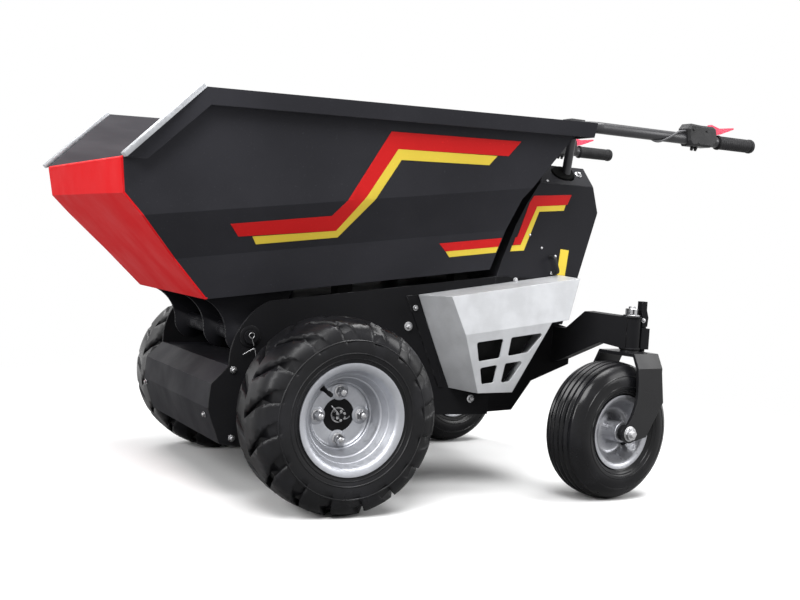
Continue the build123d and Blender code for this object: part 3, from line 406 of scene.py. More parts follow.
def assembled(name, bm, finish, body, smooth=35.0, clean=False):
    """Makes the finished piece and lets it ride on its body; edges sharper than `smooth` stay sharp."""
    if clean:
        bmesh.ops.remove_doubles(bm, verts=bm.verts, dist=1e-6)
        bmesh.ops.recalc_face_normals(bm, faces=bm.faces)
    mesh = bpy.data.meshes.new(name)
    bm.to_mesh(mesh)
    bm.free()
    mesh.materials.append(finish)
    for face in mesh.polygons:
        face.use_smooth = True
    mesh.set_sharp_from_angle(angle=math.radians(smooth))
    piece = bpy.data.objects.new(name, mesh)
    scene.collection.objects.link(piece)
    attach(piece, body)
    return piece


TUB_MIDDLE = (0.0, 0.0, 0.74)
charcoal = powder_coat("charcoal_coat", (0.030, 0.030, 0.035), 0.50, 0.06, rub_and_highlight=0.22, inside=TUB_MIDDLE)
nose_red = powder_coat("nose_red_coat", (0.70, 0.016, 0.020), 0.55, 0.02, drift=0.02, rub_and_highlight=0.3, peel=0.1)
zinc = plated("bright_zinc", (0.46, 0.46, 0.47), 0.30, cloudy=0.35)
dress(charcoal, "tub_shell")
dress(nose_red, "tub_nose")

# the three hinge ribs as they stand on the cross tube: the right and the middle one move to the left
RIB_HALF = 0.0045                  # half a rib's thickness, and a little
RIB_SHIFTS = ((-0.215, 0.060), (0.0, 0.065))       # where a rib stands, and how far it moves
TUBE_R, TUBE_SLIM_R = 0.023, 0.0185
ON_TUBE = 0.0004                   # a corner this near the tube's radius lies on the tube
shaft_low, shaft_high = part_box("tub_pivot_shaft")
PIVOT_X, PIVOT_Z = (shaft_low[0] + shaft_high[0]) / 2, (shaft_low[2] + shaft_high[2]) / 2
bm = bmesh.new()
bm.from_mesh(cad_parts["tub_ribs"].data)
bmesh.ops.remove_doubles(bm, verts=bm.verts, dist=1e-6)
for corner in bm.verts:
    spoke = Vector((corner.co.x - PIVOT_X, 0.0, corner.co.z - PIVOT_Z))
    if abs(spoke.length - TUBE_R) < ON_TUBE:
        corner.co.x = PIVOT_X + spoke.x * TUBE_SLIM_R / TUBE_R
        corner.co.z = PIVOT_Z + spoke.z * TUBE_SLIM_R / TUBE_R
    for place, shift in RIB_SHIFTS:
        if abs(corner.co.y - place) < RIB_HALF:
            corner.co.y += shift
            break
rib_steel = powder_coat("rib_coat", (0.010, 0.010, 0.012), 0.5, 0.05, rub_and_highlight=0.3)
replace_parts(assembled("hinge_ribs", bm, rib_steel, "tub"), "tub_ribs")

film_red = powder_coat("film_red", (0.64, 0.016, 0.017), 0.45, 0.12, drift=0.04, rub_and_highlight=0.0, peel=0.04)
film_yellow = powder_coat("film_yellow", (0.84, 0.63, 0.070), 0.45, 0.15, drift=0.06, rub_and_highlight=0.0, peel=0.04)
FILM = 0.0003
FILM_STRIP = 40.0                  # a film is cut at this pitch, so that it lies close to the wall


def film(name, outline, wall, side, finish, body, folds=()):
    """A cut film laid on a wall: an outline of (behind, up) points, split where the wall folds."""
    bm = bmesh.new()
    corners = [bm.verts.new(at(behind, 0.0, height)) for behind, height in outline]
    bm.faces.new(corners)
    backs = [behind for behind, height in outline]
    first, last = int(min(backs) // FILM_STRIP) + 1, int(max(backs) // FILM_STRIP)
    cuts = [(at(FILM_STRIP * n, 0, 0), Vector((1, 0, 0))) for n in range(first, last + 1)]
    for low, high in folds:
        run = at(high[0], 0, high[1]) - at(low[0], 0, low[1])
        cuts.append((at(low[0], 0, low[1]), Vector((-run.z, 0, run.x))))
    for place, across in cuts:
        bmesh.ops.bisect_plane(bm, geom=bm.verts[:] + bm.edges[:] + bm.faces[:], dist=1e-6,
                               plane_co=place, plane_no=across)
    bmesh.ops.triangulate(bm, faces=bm.faces)
    for corner in bm.verts:
        start = Vector((corner.co.x, side * CLEAR_SIDE / 1000, corner.co.z))
        corner.co = wall.ray_cast(start, Vector((0, -side, 0)))[0] + Vector((0, side * FILM, 0))
    raised = bmesh.ops.extrude_face_region(bm, geom=bm.faces[:])
    for corner in (v for v in raised["geom"] if isinstance(v, bmesh.types.BMVert)):
        corner.co.y += side * FILM
    return assembled(name, bm, finish, body, clean=True)


# bright steel bars on the slanted front edges of the side flanges, from the nose up to the rim: a painted
# highlight, standing for the reflection on the flanges' faces
EDGE_LOW, EDGE_HIGH = at(-469, 0, 700), at(-321, 0, 847)
EDGE_WIDTH, EDGE_STANDS, EDGE_SUNK = 0.024, 0.0095, 0.001
EDGE_Y = 0.388
EDGE_EASE = 0.0012
# the bars' bright steel is a painted highlight for the flange faces' reflection
highlight_bar_steel = plated("flange_highlight_steel", (0.42, 0.43, 0.45), 0.42, cloudy=0.14, edge=None)
run = EDGE_HIGH - EDGE_LOW
stand = Vector((run.z, 0.0, -run.x)).normalized()
for side, word in SIDES:
    bm = bmesh.new()
    bmesh.ops.create_cube(bm, size=1.0)
    middle = (EDGE_LOW + EDGE_HIGH) / 2 + stand * (EDGE_STANDS - EDGE_SUNK) / 2
    middle += Vector((0, side * EDGE_Y, 0))
    frame_axes = Matrix((run.normalized(), Vector((0, 1, 0)), stand)).transposed().to_4x4()
    size = Matrix.Diagonal((run.length, EDGE_WIDTH, EDGE_STANDS + EDGE_SUNK, 1.0))
    bmesh.ops.transform(bm, matrix=Matrix.Translation(middle) @ frame_axes @ size, verts=bm.verts)
    bmesh.ops.recalc_face_normals(bm, faces=bm.faces)
    bmesh.ops.bevel(bm, geom=bm.edges[:], offset=EDGE_EASE, offset_type="OFFSET", affect="EDGES",
                    segments=2, profile=0.5, material=-1)
    assembled(f"flange_highlight_bar_{word}", bm, highlight_bar_steel, "tub")

FOLD_UPPER = ((-300.0, 608.5), (300.0, 689.5))      # two points of the side wall's upper crease
TUB_FILMS = (
    # label, finish, outline as (behind, up)
    ("long_red", film_red, [(-231, 587), (-7, 618), (21, 653), (98, 804), (427, 814), (401, 779),
                            (121, 769), (66, 667), (13, 587), (-207, 562)]),
    ("long_yellow", film_yellow, [(-176, 564), (13, 587), (66, 667), (121, 769), (372, 777), (355, 755),
                                  (133, 747), (85, 658), (21, 573), (-164, 548)]),
    ("low_red", film_red, [(281, 574), (447, 596), (443, 575), (302, 556.5)]),
    ("low_yellow", film_yellow, [(302, 556.5), (443, 575), (440, 561), (315, 544)]),
)
tub_wall = skin("tub_shell")
for side, word in SIDES:
    for label, finish, outline in TUB_FILMS:
        film(f"tub_film_{label}_{word}", outline, tub_wall, side, finish, "tub",
             folds=(FOLD_UPPER,))

# ---- Chassis ------------------------------------------------------------------------------------
# Two cut steel side plates joined by a folded front cover, a deck and a belly pan, all black powder
# coat, held together by zinc plated bolts. The tipping shaft crosses the plates at the front.
black = powder_coat("black_coat", (0.009, 0.009, 0.010), 0.48, 0.05, rub_and_highlight=0.3)
cover_black = powder_coat("cover_black_coat", (0.015, 0.015, 0.018), 0.50, 0.06, drift=0.04, rub_and_highlight=0.3)
block_grey = powder_coat("drive_block_coat", (0.06, 0.06, 0.06), 0.6)
dress(black, "chassis_plate_left", "chassis_plate_right", "chassis_deck", "belly_pan", "rear_body",
      "rear_shelf", "drive_axle", "tub_pivot_shaft")
dress(cover_black, "front_cover")
dress(block_grey, "power_block")

PLATE_BOLTS = (
    # behind, up, across the head's corners
    (-183, 280, 10), (-179, 134, 10), (229, 382, 14), (406, 215, 13), (243, 424.5, 9),
)
bm = bmesh.new()
for side, word in SIDES:
    plate = skin(f"chassis_plate_{word}")
    for behind, height, across in PLATE_BOLTS:
        hit = plate.ray_cast(at(behind, side * CLEAR_SIDE, height), Vector((0, -side, 0)))[0]
        bolt(bm, hit, (0, side, 0), across)
assembled("chassis_bolts", bm, zinc, "chassis")

COVER_BOLTS = ((212, 180), (-238, 190))          # to the left, up
COVER_BOLT_ACROSS = 9
CLEAR_FRONT = -500.0                              # rays at the front cover start here
bm = bmesh.new()
cover = skin("front_cover")
for y, height in COVER_BOLTS:
    hit, normal = cover.ray_cast(at(CLEAR_FRONT, y, height), Vector((-1, 0, 0)))[:2]
    bolt(bm, hit, normal, COVER_BOLT_ACROSS)
assembled("front_cover_bolts", bm, zinc, "chassis")


def wire(name, route, radius, finish, body):
    """A bent wire or cable: one smooth spline on given points, its radius in millimetres."""
    data = bpy.data.curves.new(name, "CURVE")
    data.dimensions = "3D"
    data.bevel_depth = radius / 1000
    data.bevel_resolution = 4
    data.resolution_u = 10
    data.use_fill_caps = True
    line = data.splines.new("NURBS")
    line.points.add(len(route) - 1)
    for point, place in zip(line.points, route):
        point.co = (*place, 1.0)
    line.order_u = 3
    line.use_endpoint_u = True
    data.materials.append(finish)
    piece = bpy.data.objects.new(name, data)
    scene.collection.objects.link(piece)
    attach(piece, body)
    return piece


# the tipping shaft's washers, and the sprung pin through each end with its ring and bent legs
SHAFT_BACK, SHAFT_Z = 1000 * (AXLE_X - PIVOT_X), 1000 * PIVOT_Z
SHAFT_WASHER_Y, SHAFT_PIN_Y = 252, 263
PIN_RING_R, PIN_RING_Z = 6, SHAFT_Z + 3
PIN_RING_SWEEP = range(-80, 271, 35)                  # degrees round the ring
PIN_TAIL = ((3, -10), (6, -19))                       # behind the shaft, above it
PIN_LEG = (
    # behind, inwards of the pin's plane, up
    (-166, 4, 314), (-152, 3, 322), (-141, 2, 329), (-139.5, 2, 320), (-137, 3, 310),
)
bm = bmesh.new()
for side in (1, -1):
    turned(bm, [(0.3, 15.4), (0.3, 23.0), (2.0, 23.4), (2.6, 22.4), (2.6, 15.4), (0.3, 15.4)],
           at(SHAFT_BACK, side * SHAFT_WASHER_Y, SHAFT_Z), (0, side, 0), 36)
assembled("shaft_washers", bm, black, "chassis")
for side, word in SIDES:
    y = side * SHAFT_PIN_Y
    ring = [at(SHAFT_BACK + PIN_RING_R * math.cos(t), y, PIN_RING_Z + PIN_RING_R * math.sin(t))
            for t in map(math.radians, PIN_RING_SWEEP)]
    tail = [at(SHAFT_BACK + behind, y, SHAFT_Z + above) for behind, above in PIN_TAIL]
    wire(f"shaft_pin_ring_{word}", ring + tail, 1.0, zinc, "chassis")
    leg = [at(behind, y - side * inwards, height) for behind, inwards, height in PIN_LEG]
    wire(f"shaft_pin_leg_{word}", leg, 1.1, zinc, "chassis")

# ---- Drive wheels -------------------------------------------------------------------------------
# Chevron lugged tyres on dished steel rims, painted silver. A black hub fills each rim's bore; four
# domed nuts hold the disc and a castle nut with a split pin closes the hub.


def tyre_rubber(name, colour, rough, sheen, edge=0.002):
    """Moulded tyre rubber: near black, soft gloss, fine mould grain and a trace of dust."""
    material, nodes, links, shader, place = new_finish(name)
    shader.inputs["Specular IOR Level"].default_value = sheen
    dust = ramp(nodes, links, noise(nodes, links, place, 16.0, 6.0), 0.42, 0.78)
    dusted = tint(nodes, links, dust, shifted(colour, 0.8), shifted(colour, 1.9))
    links.new(dusted, shader.inputs["Base Color"])
    gloss = noise(nodes, links, place, 7.0, 4.0)
    links.new(ramp(nodes, links, gloss, 0.3, 0.7, rough - 0.1, rough + 0.12), shader.inputs["Roughness"])
    normal = rounded_corners(nodes, edge) if edge else None
    grained(nodes, links, shader, noise(nodes, links, place, 330.0, 4.0), 0.15, 0.0005, normal)
    return material


rubber = tyre_rubber("drive_tyre_rubber", (0.006, 0.006, 0.007), 0.32, 0.22)
rim_paint = plated("rim_silver_paint", (0.40, 0.41, 0.44), 0.42, cloudy=0.06, metallic=0.8,
                   edge=None, uneven=0.02)
hub_black = powder_coat("hub_black_coat", (0.009, 0.009, 0.010), 0.42, 0.08, rub_and_highlight=0.25)
dress(hub_black, "drive_hub_left", "drive_hub_right")


def smoothed(node, finish, body, sharp, even=True):
    """A node's moulded or pressed surface, its facets merged and shaded round; it stands for the node."""
    bm = bmesh.new()
    bm.from_mesh(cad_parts[node].data)
    bmesh.ops.remove_doubles(bm, verts=bm.verts, dist=1e-5)
    piece = assembled(f"{node}_surface", bm, finish, body, smooth=sharp)
    if even:
        piece.modifiers.new("even_shading", "WEIGHTED_NORMAL").keep_sharp = True
    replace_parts(piece, node)


for word in ("left", "right"):
    smoothed(f"drive_tyre_{word}", rubber, f"drive_wheel_{word}", 22.0)
    smoothed(f"drive_rim_{word}", rim_paint, f"drive_wheel_{word}", 40.0)

WHEEL_Z = 1000 * AXLE_Z
NUT_CIRCLE = 50.0
RIM_STEPS = (
    # pressed steps round the dished barrel, as (out from the wheel's centre plane, radius)
    [(59.5, 96.0), (59.0, 93.4), (58.0, 91.8), (54.0, 90.4), (49.0, 88.4), (49.0, 90.0), (59.5, 96.0)],
    [(42.5, 86.0), (42.0, 83.4), (41.0, 81.8), (37.5, 80.2), (33.0, 78.6), (33.0, 80.2), (42.5, 86.0)],
    [(17.5, 71.6), (18.5, 69.6), (17.5, 67.6), (15.0, 66.4), (12.0, 66.2), (10.5, 67.6), (17.5, 71.6)],
)
WHEEL_MIDDLE, DISC_FACE, HUB_FACE = 389.0, 397.0, 394.0      # to the side
PIN_FACE = HUB_FACE + 14.0
SPLIT_PIN = (
    # behind, bent outwards, up
    (-22, 0, 226), (-10, 0, 214), (0, 0, 205), (9, 0, 198), (14, 3, 200), (17, 7, 205),
)
CASTLE_CIRCLE = 9.2                # the castle nut's prongs stand on it
VALVE_ANGLE = math.radians(132)
VALVE_FOOT, VALVE_TIP = (83, 428), (66, 453)      # radius, to the side
SIDEWALL_RINGS = (163.0, 137.0, 126.0)


def on_wheel(turn, radius, y):
    """A place on a drive wheel: so far round from straight behind, so far out, and to the left."""
    return at(radius * math.cos(turn), y, WHEEL_Z + radius * math.sin(turn))


for side, word in SIDES:
    body = f"drive_wheel_{word}"
    out = (0, side, 0)
    quarters = [quarter * math.pi / 2 for quarter in range(4)]
    seats = [on_wheel(math.pi / 2 - turn, NUT_CIRCLE, side * DISC_FACE) for turn in quarters]
    bm = bmesh.new()
    for seat in seats:
        turned(bm, [(-0.5, 0.0), (-0.5, 19.5), (0.6, 19.0), (2.6, 14.5), (2.8, 0.0)], seat, out, 28)
    assembled(f"rim_nut_seats_{word}", bm, rim_paint, body)
    bm = bmesh.new()
    for step in RIM_STEPS:
        turned(bm, step, at(0.0, side * WHEEL_MIDDLE, WHEEL_Z), out, 96)
    assembled(f"rim_steps_{word}", bm, rim_paint, body, smooth=50.0)
    bm = bmesh.new()
    for turn, seat in zip(quarters, seats):
        turned(bm, [(2.8, 0.0), (2.8, 13.2), (4.4, 13.4), (5.2, 12.2), (5.2, 0.0)], seat, out, 24)
        prism(bm, 6, 11.8, 5.2, 16.5, seat, out, 0.9, 0.2 + turn)
        turned(bm, [(16.0, 0.0), (16.0, 9.6), (19.5, 9.5), (22.6, 8.3), (25.0, 5.6), (26.2, 2.6),
                    (26.5, 0.0)], seat, out, 24)
    assembled(f"wheel_nuts_{word}", bm, zinc, body)

    # castle nut, threaded end and split pin
    centre = at(0.0, side * HUB_FACE, WHEEL_Z)
    bm = bmesh.new()
    turned(bm, [(0.2, 0.0), (0.2, 16.5), (1.9, 16.5), (2.4, 15.8), (2.4, 0.0)], centre, out, 36)
    prism(bm, 6, 14.2, 2.4, 11.0, centre, out, 1.0, 0.4)
    for slot_number in range(6):
        turn = (slot_number + 0.5) * math.pi / 3
        prong = centre + Vector((math.cos(turn), 0, math.sin(turn))) * CASTLE_CIRCLE / 1000
        prism(bm, 8, 3.5, 10.6, 16.5, prong, out, 0.6, turn)
    turned(bm, [(10.6, 0.0), (10.6, 6.6), (18.0, 6.6), (19.4, 5.4), (19.4, 0.0)], centre, out, 24)
    assembled(f"castle_nut_{word}", bm, zinc, body)
    pin = [at(behind, side * (PIN_FACE + bent), height) for behind, bent, height in SPLIT_PIN]
    wire(f"split_pin_{word}", pin, 1.4, zinc, body)

    # tyre valve, leaning in from the rim's well
    foot = on_wheel(VALVE_ANGLE, VALVE_FOOT[0], side * VALVE_FOOT[1])
    tip = on_wheel(VALVE_ANGLE, VALVE_TIP[0], side * VALVE_TIP[1])
    bm = bmesh.new()
    turned(bm, [(-4.0, 0.0), (-4.0, 7.0), (1.0, 7.2), (5.0, 5.4), (12.0, 4.3), (20.0, 4.0), (20.5, 4.9),
                (30.0, 4.9), (31.5, 3.8), (31.5, 0.0)], foot, tip - foot, 20)
    assembled(f"tyre_valve_{word}", bm, hub_black, body)

    # moulded rings round the sidewall
    wall = skin(f"drive_tyre_{word}")
    bm = bmesh.new()
    for radius in SIDEWALL_RINGS:
        hit = wall.ray_cast(at(0.0, side * CLEAR_SIDE, WHEEL_Z - radius), Vector((0, -side, 0)))[0]
        turned(bm, [(-1.5, radius - 2.6), (0.3, radius - 1.6), (1.3, radius - 0.6), (1.3, radius + 0.6),
                    (0.3, radius + 1.6), (-1.5, radius + 2.6), (-1.5, radius - 2.6)],
               at(0.0, 1000 * hit.y, WHEEL_Z), out, 96)
    assembled(f"tyre_rings_{word}", bm, rubber, body)

# ---- Castor arms --------------------------------------------------------------------------------
# Gooseneck box arms on the rear body carry a head tube each; a sprung plunger beside it locks the
# castor straight. All welded steel, black powder coat.
dress(black, "castor_arm_left", "castor_arm_right", "swivel_locks")
SWIVEL_BACK, SWIVEL_Y = 758.0, 385.0
HEAD_TOP, HEAD_FOOT = 430.0, 350.0
COLLAR_BELOW = 3.4                 # the upper collar starts this far under the head tube's top
LOCK_BOLT = (788.0, 393.0, 421.0)
UPWARDS = (0, 0, 1)
for side, word in SIDES:
    bm = bmesh.new()
    turned(bm, [(0.1, 13.4), (0.1, 25.0), (2.6, 25.4), (3.0, 24.4), (3.0, 13.4), (0.1, 13.4)],
           at(SWIVEL_BACK, side * SWIVEL_Y, HEAD_TOP - COLLAR_BELOW), UPWARDS, 40)
    turned(bm, [(0.1, 22.1), (0.1, 24.2), (3.0, 25.0), (5.6, 23.6), (5.6, 22.1), (0.1, 22.1)],
           at(SWIVEL_BACK, side * SWIVEL_Y, HEAD_FOOT), UPWARDS, 40)
    assembled(f"head_tube_collars_{word}", bm, black, "chassis", clean=True)
    behind, y, height = LOCK_BOLT
    bm = bmesh.new()
    bolt(bm, at(behind, side * y, height), (0, side, 0), 8)
    assembled(f"lock_fasteners_{word}", bm, zinc, "chassis")

# ---- Castors ------------------------------------------------------------------------------------
# Swivelling forks bent from thick strip, with ribbed implement tyres on silver two-piece rims. The
# axle is a zinc plated bolt with spacers; a plated nut closes the stem above the head tube.
castor_rubber = tyre_rubber("castor_tyre_rubber", (0.006, 0.006, 0.007), 0.26, 0.22, edge=None)
castor_rim_paint = plated("castor_rim_paint", (0.38, 0.385, 0.41), 0.34, cloudy=0.08, metallic=0.8,
                          edge=None, uneven=0.02)
fork_black = powder_coat("fork_coat", (0.008, 0.008, 0.009), 0.32, 0.26, rub_and_highlight=0.3)
for word in ("left", "right"):
    smoothed(f"castor_tyre_{word}", castor_rubber, f"castor_wheel_{word}", 48.0, even=False)
    smoothed(f"castor_rim_{word}", castor_rim_paint, f"castor_wheel_{word}", 40.0)
dress(fork_black, "castor_fork_left", "castor_fork_right")
dress(zinc, "castor_axle_left", "castor_axle_right")
CASTOR_TURN = math.radians(8.0)
PARKED = Matrix.Rotation(CASTOR_TURN, 3, "Z")
CASTOR_Z = 162.0
TRAIL = 58.0                       # the wheel's axle stands this far ahead of the stem
NUT_FACE, AXLE_END, SPACER_FACE = 74.05, 86.0, 53.2
CASTOR_RINGS = (132.0, 108.0, 99.0)
CASTOR_VALVE_FOOT, CASTOR_VALVE_TIP = (-44.0, 14.0, -34.0), (-34.0, 34.0, -27.0)      # from the axle


def on_castor(stem, ahead_mm, left_mm, height):
    """A place on a castor, given as it stands straight, turned to where the castor is parked."""
    return stem + PARKED @ Vector((ahead_mm / 1000, left_mm / 1000, height / 1000))


for side, word in SIDES:
    stem = at(SWIVEL_BACK, side * SWIVEL_Y, 0.0)
    axle_out = PARKED @ Vector((0, 1, 0))
    bm = bmesh.new()
    prism(bm, 6, 15.9, 433.6, 448.0, stem, UPWARDS, 1.2, 0.2)
    turned(bm, [(430.7, 12.0), (430.7, 19.7), (432.9, 19.9), (433.6, 19.2), (433.6, 12.0), (430.7, 12.0)],
           stem, UPWARDS, 36)
    turned(bm, [(447.0, 0.0), (447.0, 8.0), (452.0, 8.0), (453.4, 6.6), (453.4, 0.0)], stem, UPWARDS, 24)
    assembled(f"stem_nut_{word}", bm, zinc, f"castor_fork_{word}")

    # washers and rounded ends on the axle bolt, and the black spacers between hub and legs
    bm = bmesh.new()
    spacers = bmesh.new()
    for face in (1, -1):
        outwards = axle_out * face
        turned(bm, [(0.0, 9.2), (0.0, 17.6), (1.4, 18.0), (2.0, 17.0), (2.0, 9.2), (0.0, 9.2)],
               on_castor(stem, TRAIL, face * NUT_FACE, CASTOR_Z), outwards, 32)
        turned(bm, [(0.0, 0.0), (0.0, 7.6), (2.4, 7.6), (3.6, 6.2), (3.6, 0.0)],
               on_castor(stem, TRAIL, face * AXLE_END, CASTOR_Z), outwards, 20)
        turned(spacers, [(0.0, 17.1), (0.0, 18.6), (1.0, 19.2), (11.0, 19.2), (12.0, 18.6), (12.0, 17.1),
                         (0.0, 17.1)], on_castor(stem, TRAIL, face * SPACER_FACE, CASTOR_Z), outwards, 32)
    assembled(f"castor_washers_{word}", bm, zinc, f"castor_fork_{word}", clean=True)
    assembled(f"castor_spacers_{word}", spacers, black, f"castor_fork_{word}", clean=True)

    # raised rings on the tyre's sidewalls, and its valve
    wall = skin(f"castor_tyre_{word}")
    bm = bmesh.new()
    middle = on_castor(stem, TRAIL, 0.0, CASTOR_Z)
    for face in (1, -1):
        outwards = axle_out * face
        for radius in CASTOR_RINGS:
            start = middle + outwards * CLEAR_SIDE / 1000 + Vector((0, 0, -radius / 1000))
            hit = wall.ray_cast(start, -outwards)[0]
            height = 1000 * (hit - middle).dot(outwards)
            turned(bm, [(height - 1.4, radius - 2.0), (height + 0.2, radius - 1.2),
                        (height + 0.9, radius - 0.4), (height + 0.9, radius + 0.4),
                        (height + 0.2, radius + 1.2), (height - 1.4, radius + 2.0),
                        (height - 1.4, radius - 2.0)], middle, outwards, 96)
    assembled(f"castor_tyre_rings_{word}", bm, castor_rubber, f"castor_wheel_{word}")
    bm = bmesh.new()
    foot, tip = (on_castor(stem, TRAIL + ahead_mm, left_mm, CASTOR_Z + up_mm)
                 for ahead_mm, left_mm, up_mm in (CASTOR_VALVE_FOOT, CASTOR_VALVE_TIP))
    turned(bm, [(-4.0, 0.0), (-4.0, 6.0), (1.0, 6.2), (4.0, 4.6), (14.0, 3.8), (14.4, 4.6), (22.0, 4.6),
                (23.2, 3.6), (23.2, 0.0)], foot, tip - foot, 18)
    assembled(f"castor_valve_{word}", bm, hub_black, f"castor_wheel_{word}")

# ---- Side covers --------------------------------------------------------------------------------
# Faceted covers over the batteries, cast light alloy left silver grey, pierced by four windows. They
# sit on the chassis plates behind a folded black strip.
cast_silver = plated("cast_silver", (0.54, 0.55, 0.57), 0.42, cloudy=0.10, metallic=0.35,
                     brushed=(0.35, 1.0, 2.5), edge=0.002)
dress(cast_silver, "side_cover_left", "side_cover_right")

# the black battery case that shows through the windows: its flank leans in as the cover does
CASE = (
    # behind, up, how far out the flank stands there
    (384, 258, 298), (464, 258, 298), (534, 388, 320), (348, 362, 320),
)
CASE_BACK = 256                    # the case's inner face
CASE_EASE = 0.004
case_black = powder_coat("battery_case_coat", (0.006, 0.006, 0.006), 0.5, 0.08)


def case_reach(place):
    """How far out the case's flank stands at the corner of its outline nearest to a place."""
    return min(CASE, key=lambda row: (at(row[0], 0, row[1]) - Vector((place.x, 0, place.z))).length)[2]


for side, word in SIDES:
    bm = bmesh.new()
    outline = [bm.verts.new(at(behind, side * CASE_BACK, height)) for behind, height, out in CASE]
    raised = bmesh.ops.extrude_face_region(bm, geom=[bm.faces.new(outline)])
    for corner in (v for v in raised["geom"] if isinstance(v, bmesh.types.BMVert)):
        corner.co.y = side * case_reach(corner.co) / 1000
    bmesh.ops.recalc_face_normals(bm, faces=bm.faces)
    bmesh.ops.bevel(bm, geom=bm.edges[:], offset=CASE_EASE, offset_type="OFFSET", affect="EDGES",
                    segments=2, profile=0.5, material=-1)
    assembled(f"battery_case_{word}", bm, case_black, "chassis")

# ---- Console ------------------------------------------------------------------------------------
# Sheet steel box behind the tub, powder coated charcoal, with a hood whose sides slope in. It carries
# the striped films, a small pull handle and a plain yellow plate.
console_coat = powder_coat("console_coat", (0.018, 0.018, 0.021), 0.48, 0.07, rub_and_highlight=0.25)
dress(console_coat, "console_shell", "console_lid")
console_wall = skin("console_shell")
CONSOLE_FILMS = (
    # label, finish, outline as (behind, up)
    ("red", film_red, [(548, 702), (657, 712), (646, 687), (559, 677), (519, 584), (497, 581), (503, 600),
                       (508, 601), (537, 685)]),
    ("yellow", film_yellow, [(559, 677), (641, 686), (637, 672), (566, 665), (529, 570), (491, 566),
                             (495, 580), (519, 583)]),
)
for side, word in SIDES:
    for label, finish, outline in CONSOLE_FILMS:
        film(f"console_film_{label}_{word}", outline, console_wall, side, finish, "chassis")
BLANK_PLATE = [(635, 579), (660, 577), (653, 514), (629, 516)]
film("blank_plate", BLANK_PLATE, console_wall, 1, film_yellow, "chassis")

# screws on the console's sides and two more by the plate, a foot bolt, and a bolt and a stud on the hood
CONSOLE_Y = 250.1
SIDE_SCREWS = ((543.5, 608, 4.5), (580, 578.5, 4.5))      # behind, up, across
PLATE_SCREWS = ((621, 560, 6.0), (613, 519, 6.0))
FOOT_BOLT = (510, 252.0, 498.3)                           # behind, to the side, up
HOOD_BOLT = (693, 221.2, 764.2)
HOOD_STUD = (588, 244.6, 740.8)
HOOD_WASHER = 2.2                                         # its thickness
bm = bmesh.new()
for side, word in SIDES:
    foot_place, bolt_place, stud_place = (at(behind, side * y, height)
                                          for behind, y, height in (FOOT_BOLT, HOOD_BOLT, HOOD_STUD))
    for behind, height, across in SIDE_SCREWS + (PLATE_SCREWS if word == "left" else ()):
        r = across / 2
        turned(bm, [(0.0, 0.0), (0.0, r + 1), (1.0, r + 0.7), (1.8, r / 2), (1.9, 0.0)],
               at(behind, side * CONSOLE_Y, height), (0, side, 0), 16)
    bolt(bm, foot_place, (0, side, 0), 9)
    slope = Vector((0, side * 0.70, 0.71))
    turned(bm, [(0.0, 0.0), (0.0, 9.5), (1.6, 9.8), (HOOD_WASHER, 8.8), (HOOD_WASHER, 0.0)],
           bolt_place, slope, 28)
    bolt(bm, bolt_place + slope * HOOD_WASHER / 1000, slope, 10, washer=False)
    turned(bm, [(0.0, 0.0), (0.0, 4.0), (1.2, 3.6), (1.8, 0.0)], stud_place, slope, 16)
assembled("console_screws", bm, zinc, "chassis")


def moulded(name, colour, rough, texture=0.25, speck=1.5, sheen=0.2):
    """Moulded plastic or grip rubber with a spark-eroded grain."""
    material, nodes, links, shader, place = new_finish(name)
    shader.inputs["Specular IOR Level"].default_value = sheen
    patch = ramp(nodes, links, noise(nodes, links, place, 30.0, 5.0), 0.35, 0.7)
    patched = tint(nodes, links, patch, shifted(colour, 0.88), shifted(colour, speck))
    links.new(patched, shader.inputs["Base Color"])
    haze = noise(nodes, links, place, 60.0, 3.0)
    links.new(ramp(nodes, links, haze, 0.3, 0.7, rough - 0.06, rough + 0.1), shader.inputs["Roughness"])
    pits = noise(nodes, links, place, 900.0, 2.0)
    grained(nodes, links, shader, pits, texture, 0.0002, rounded_corners(nodes, 0.0012))
    return material


plastic = moulded("black_plastic", (0.016, 0.016, 0.017), 0.42)
dress(plastic, "pull_handle", "control_left", "control_right")
rest_rubber = moulded("rest_rubber", (0.012, 0.012, 0.012), 0.7, sheen=0.08)
dress(rest_rubber, "tub_rests")

# oval rubber flanges on the hood's slopes, where the handlebar posts go in, near black and dull: they
# also stand for the shade in the openings round the posts, a painted shade
BOOT_BACK, BOOT_Y, BOOT_Z = 646.0, 222.0, 764.0
BOOT_SIZE = Matrix.Diagonal((0.032, 0.024, 0.0036, 1.0))      # two radii and its thickness
BOOT_LIFT = 0.001
# near black and dull: a painted shade for the openings round the posts
boot_shade_rubber = moulded("boot_shade_rubber", (0.004, 0.004, 0.004), 0.7, sheen=0.03)
for side, word in SIDES:
    slope = Vector((0.0, side * 0.704, 0.710)).normalized()
    lie = Matrix((Vector((1, 0, 0)), slope.cross(Vector((1, 0, 0))), slope)).transposed().to_4x4()
    seat = Matrix.Translation(at(BOOT_BACK, side * BOOT_Y, BOOT_Z) + slope * BOOT_LIFT)
    bm = bmesh.new()
    bmesh.ops.create_cone(bm, cap_ends=True, segments=40, radius1=1.0, radius2=0.93, depth=1.0)
    bmesh.ops.transform(bm, matrix=seat @ lie @ BOOT_SIZE, verts=bm.verts)
    assembled(f"post_boot_shade_{word}", bm, boot_shade_rubber, "chassis")

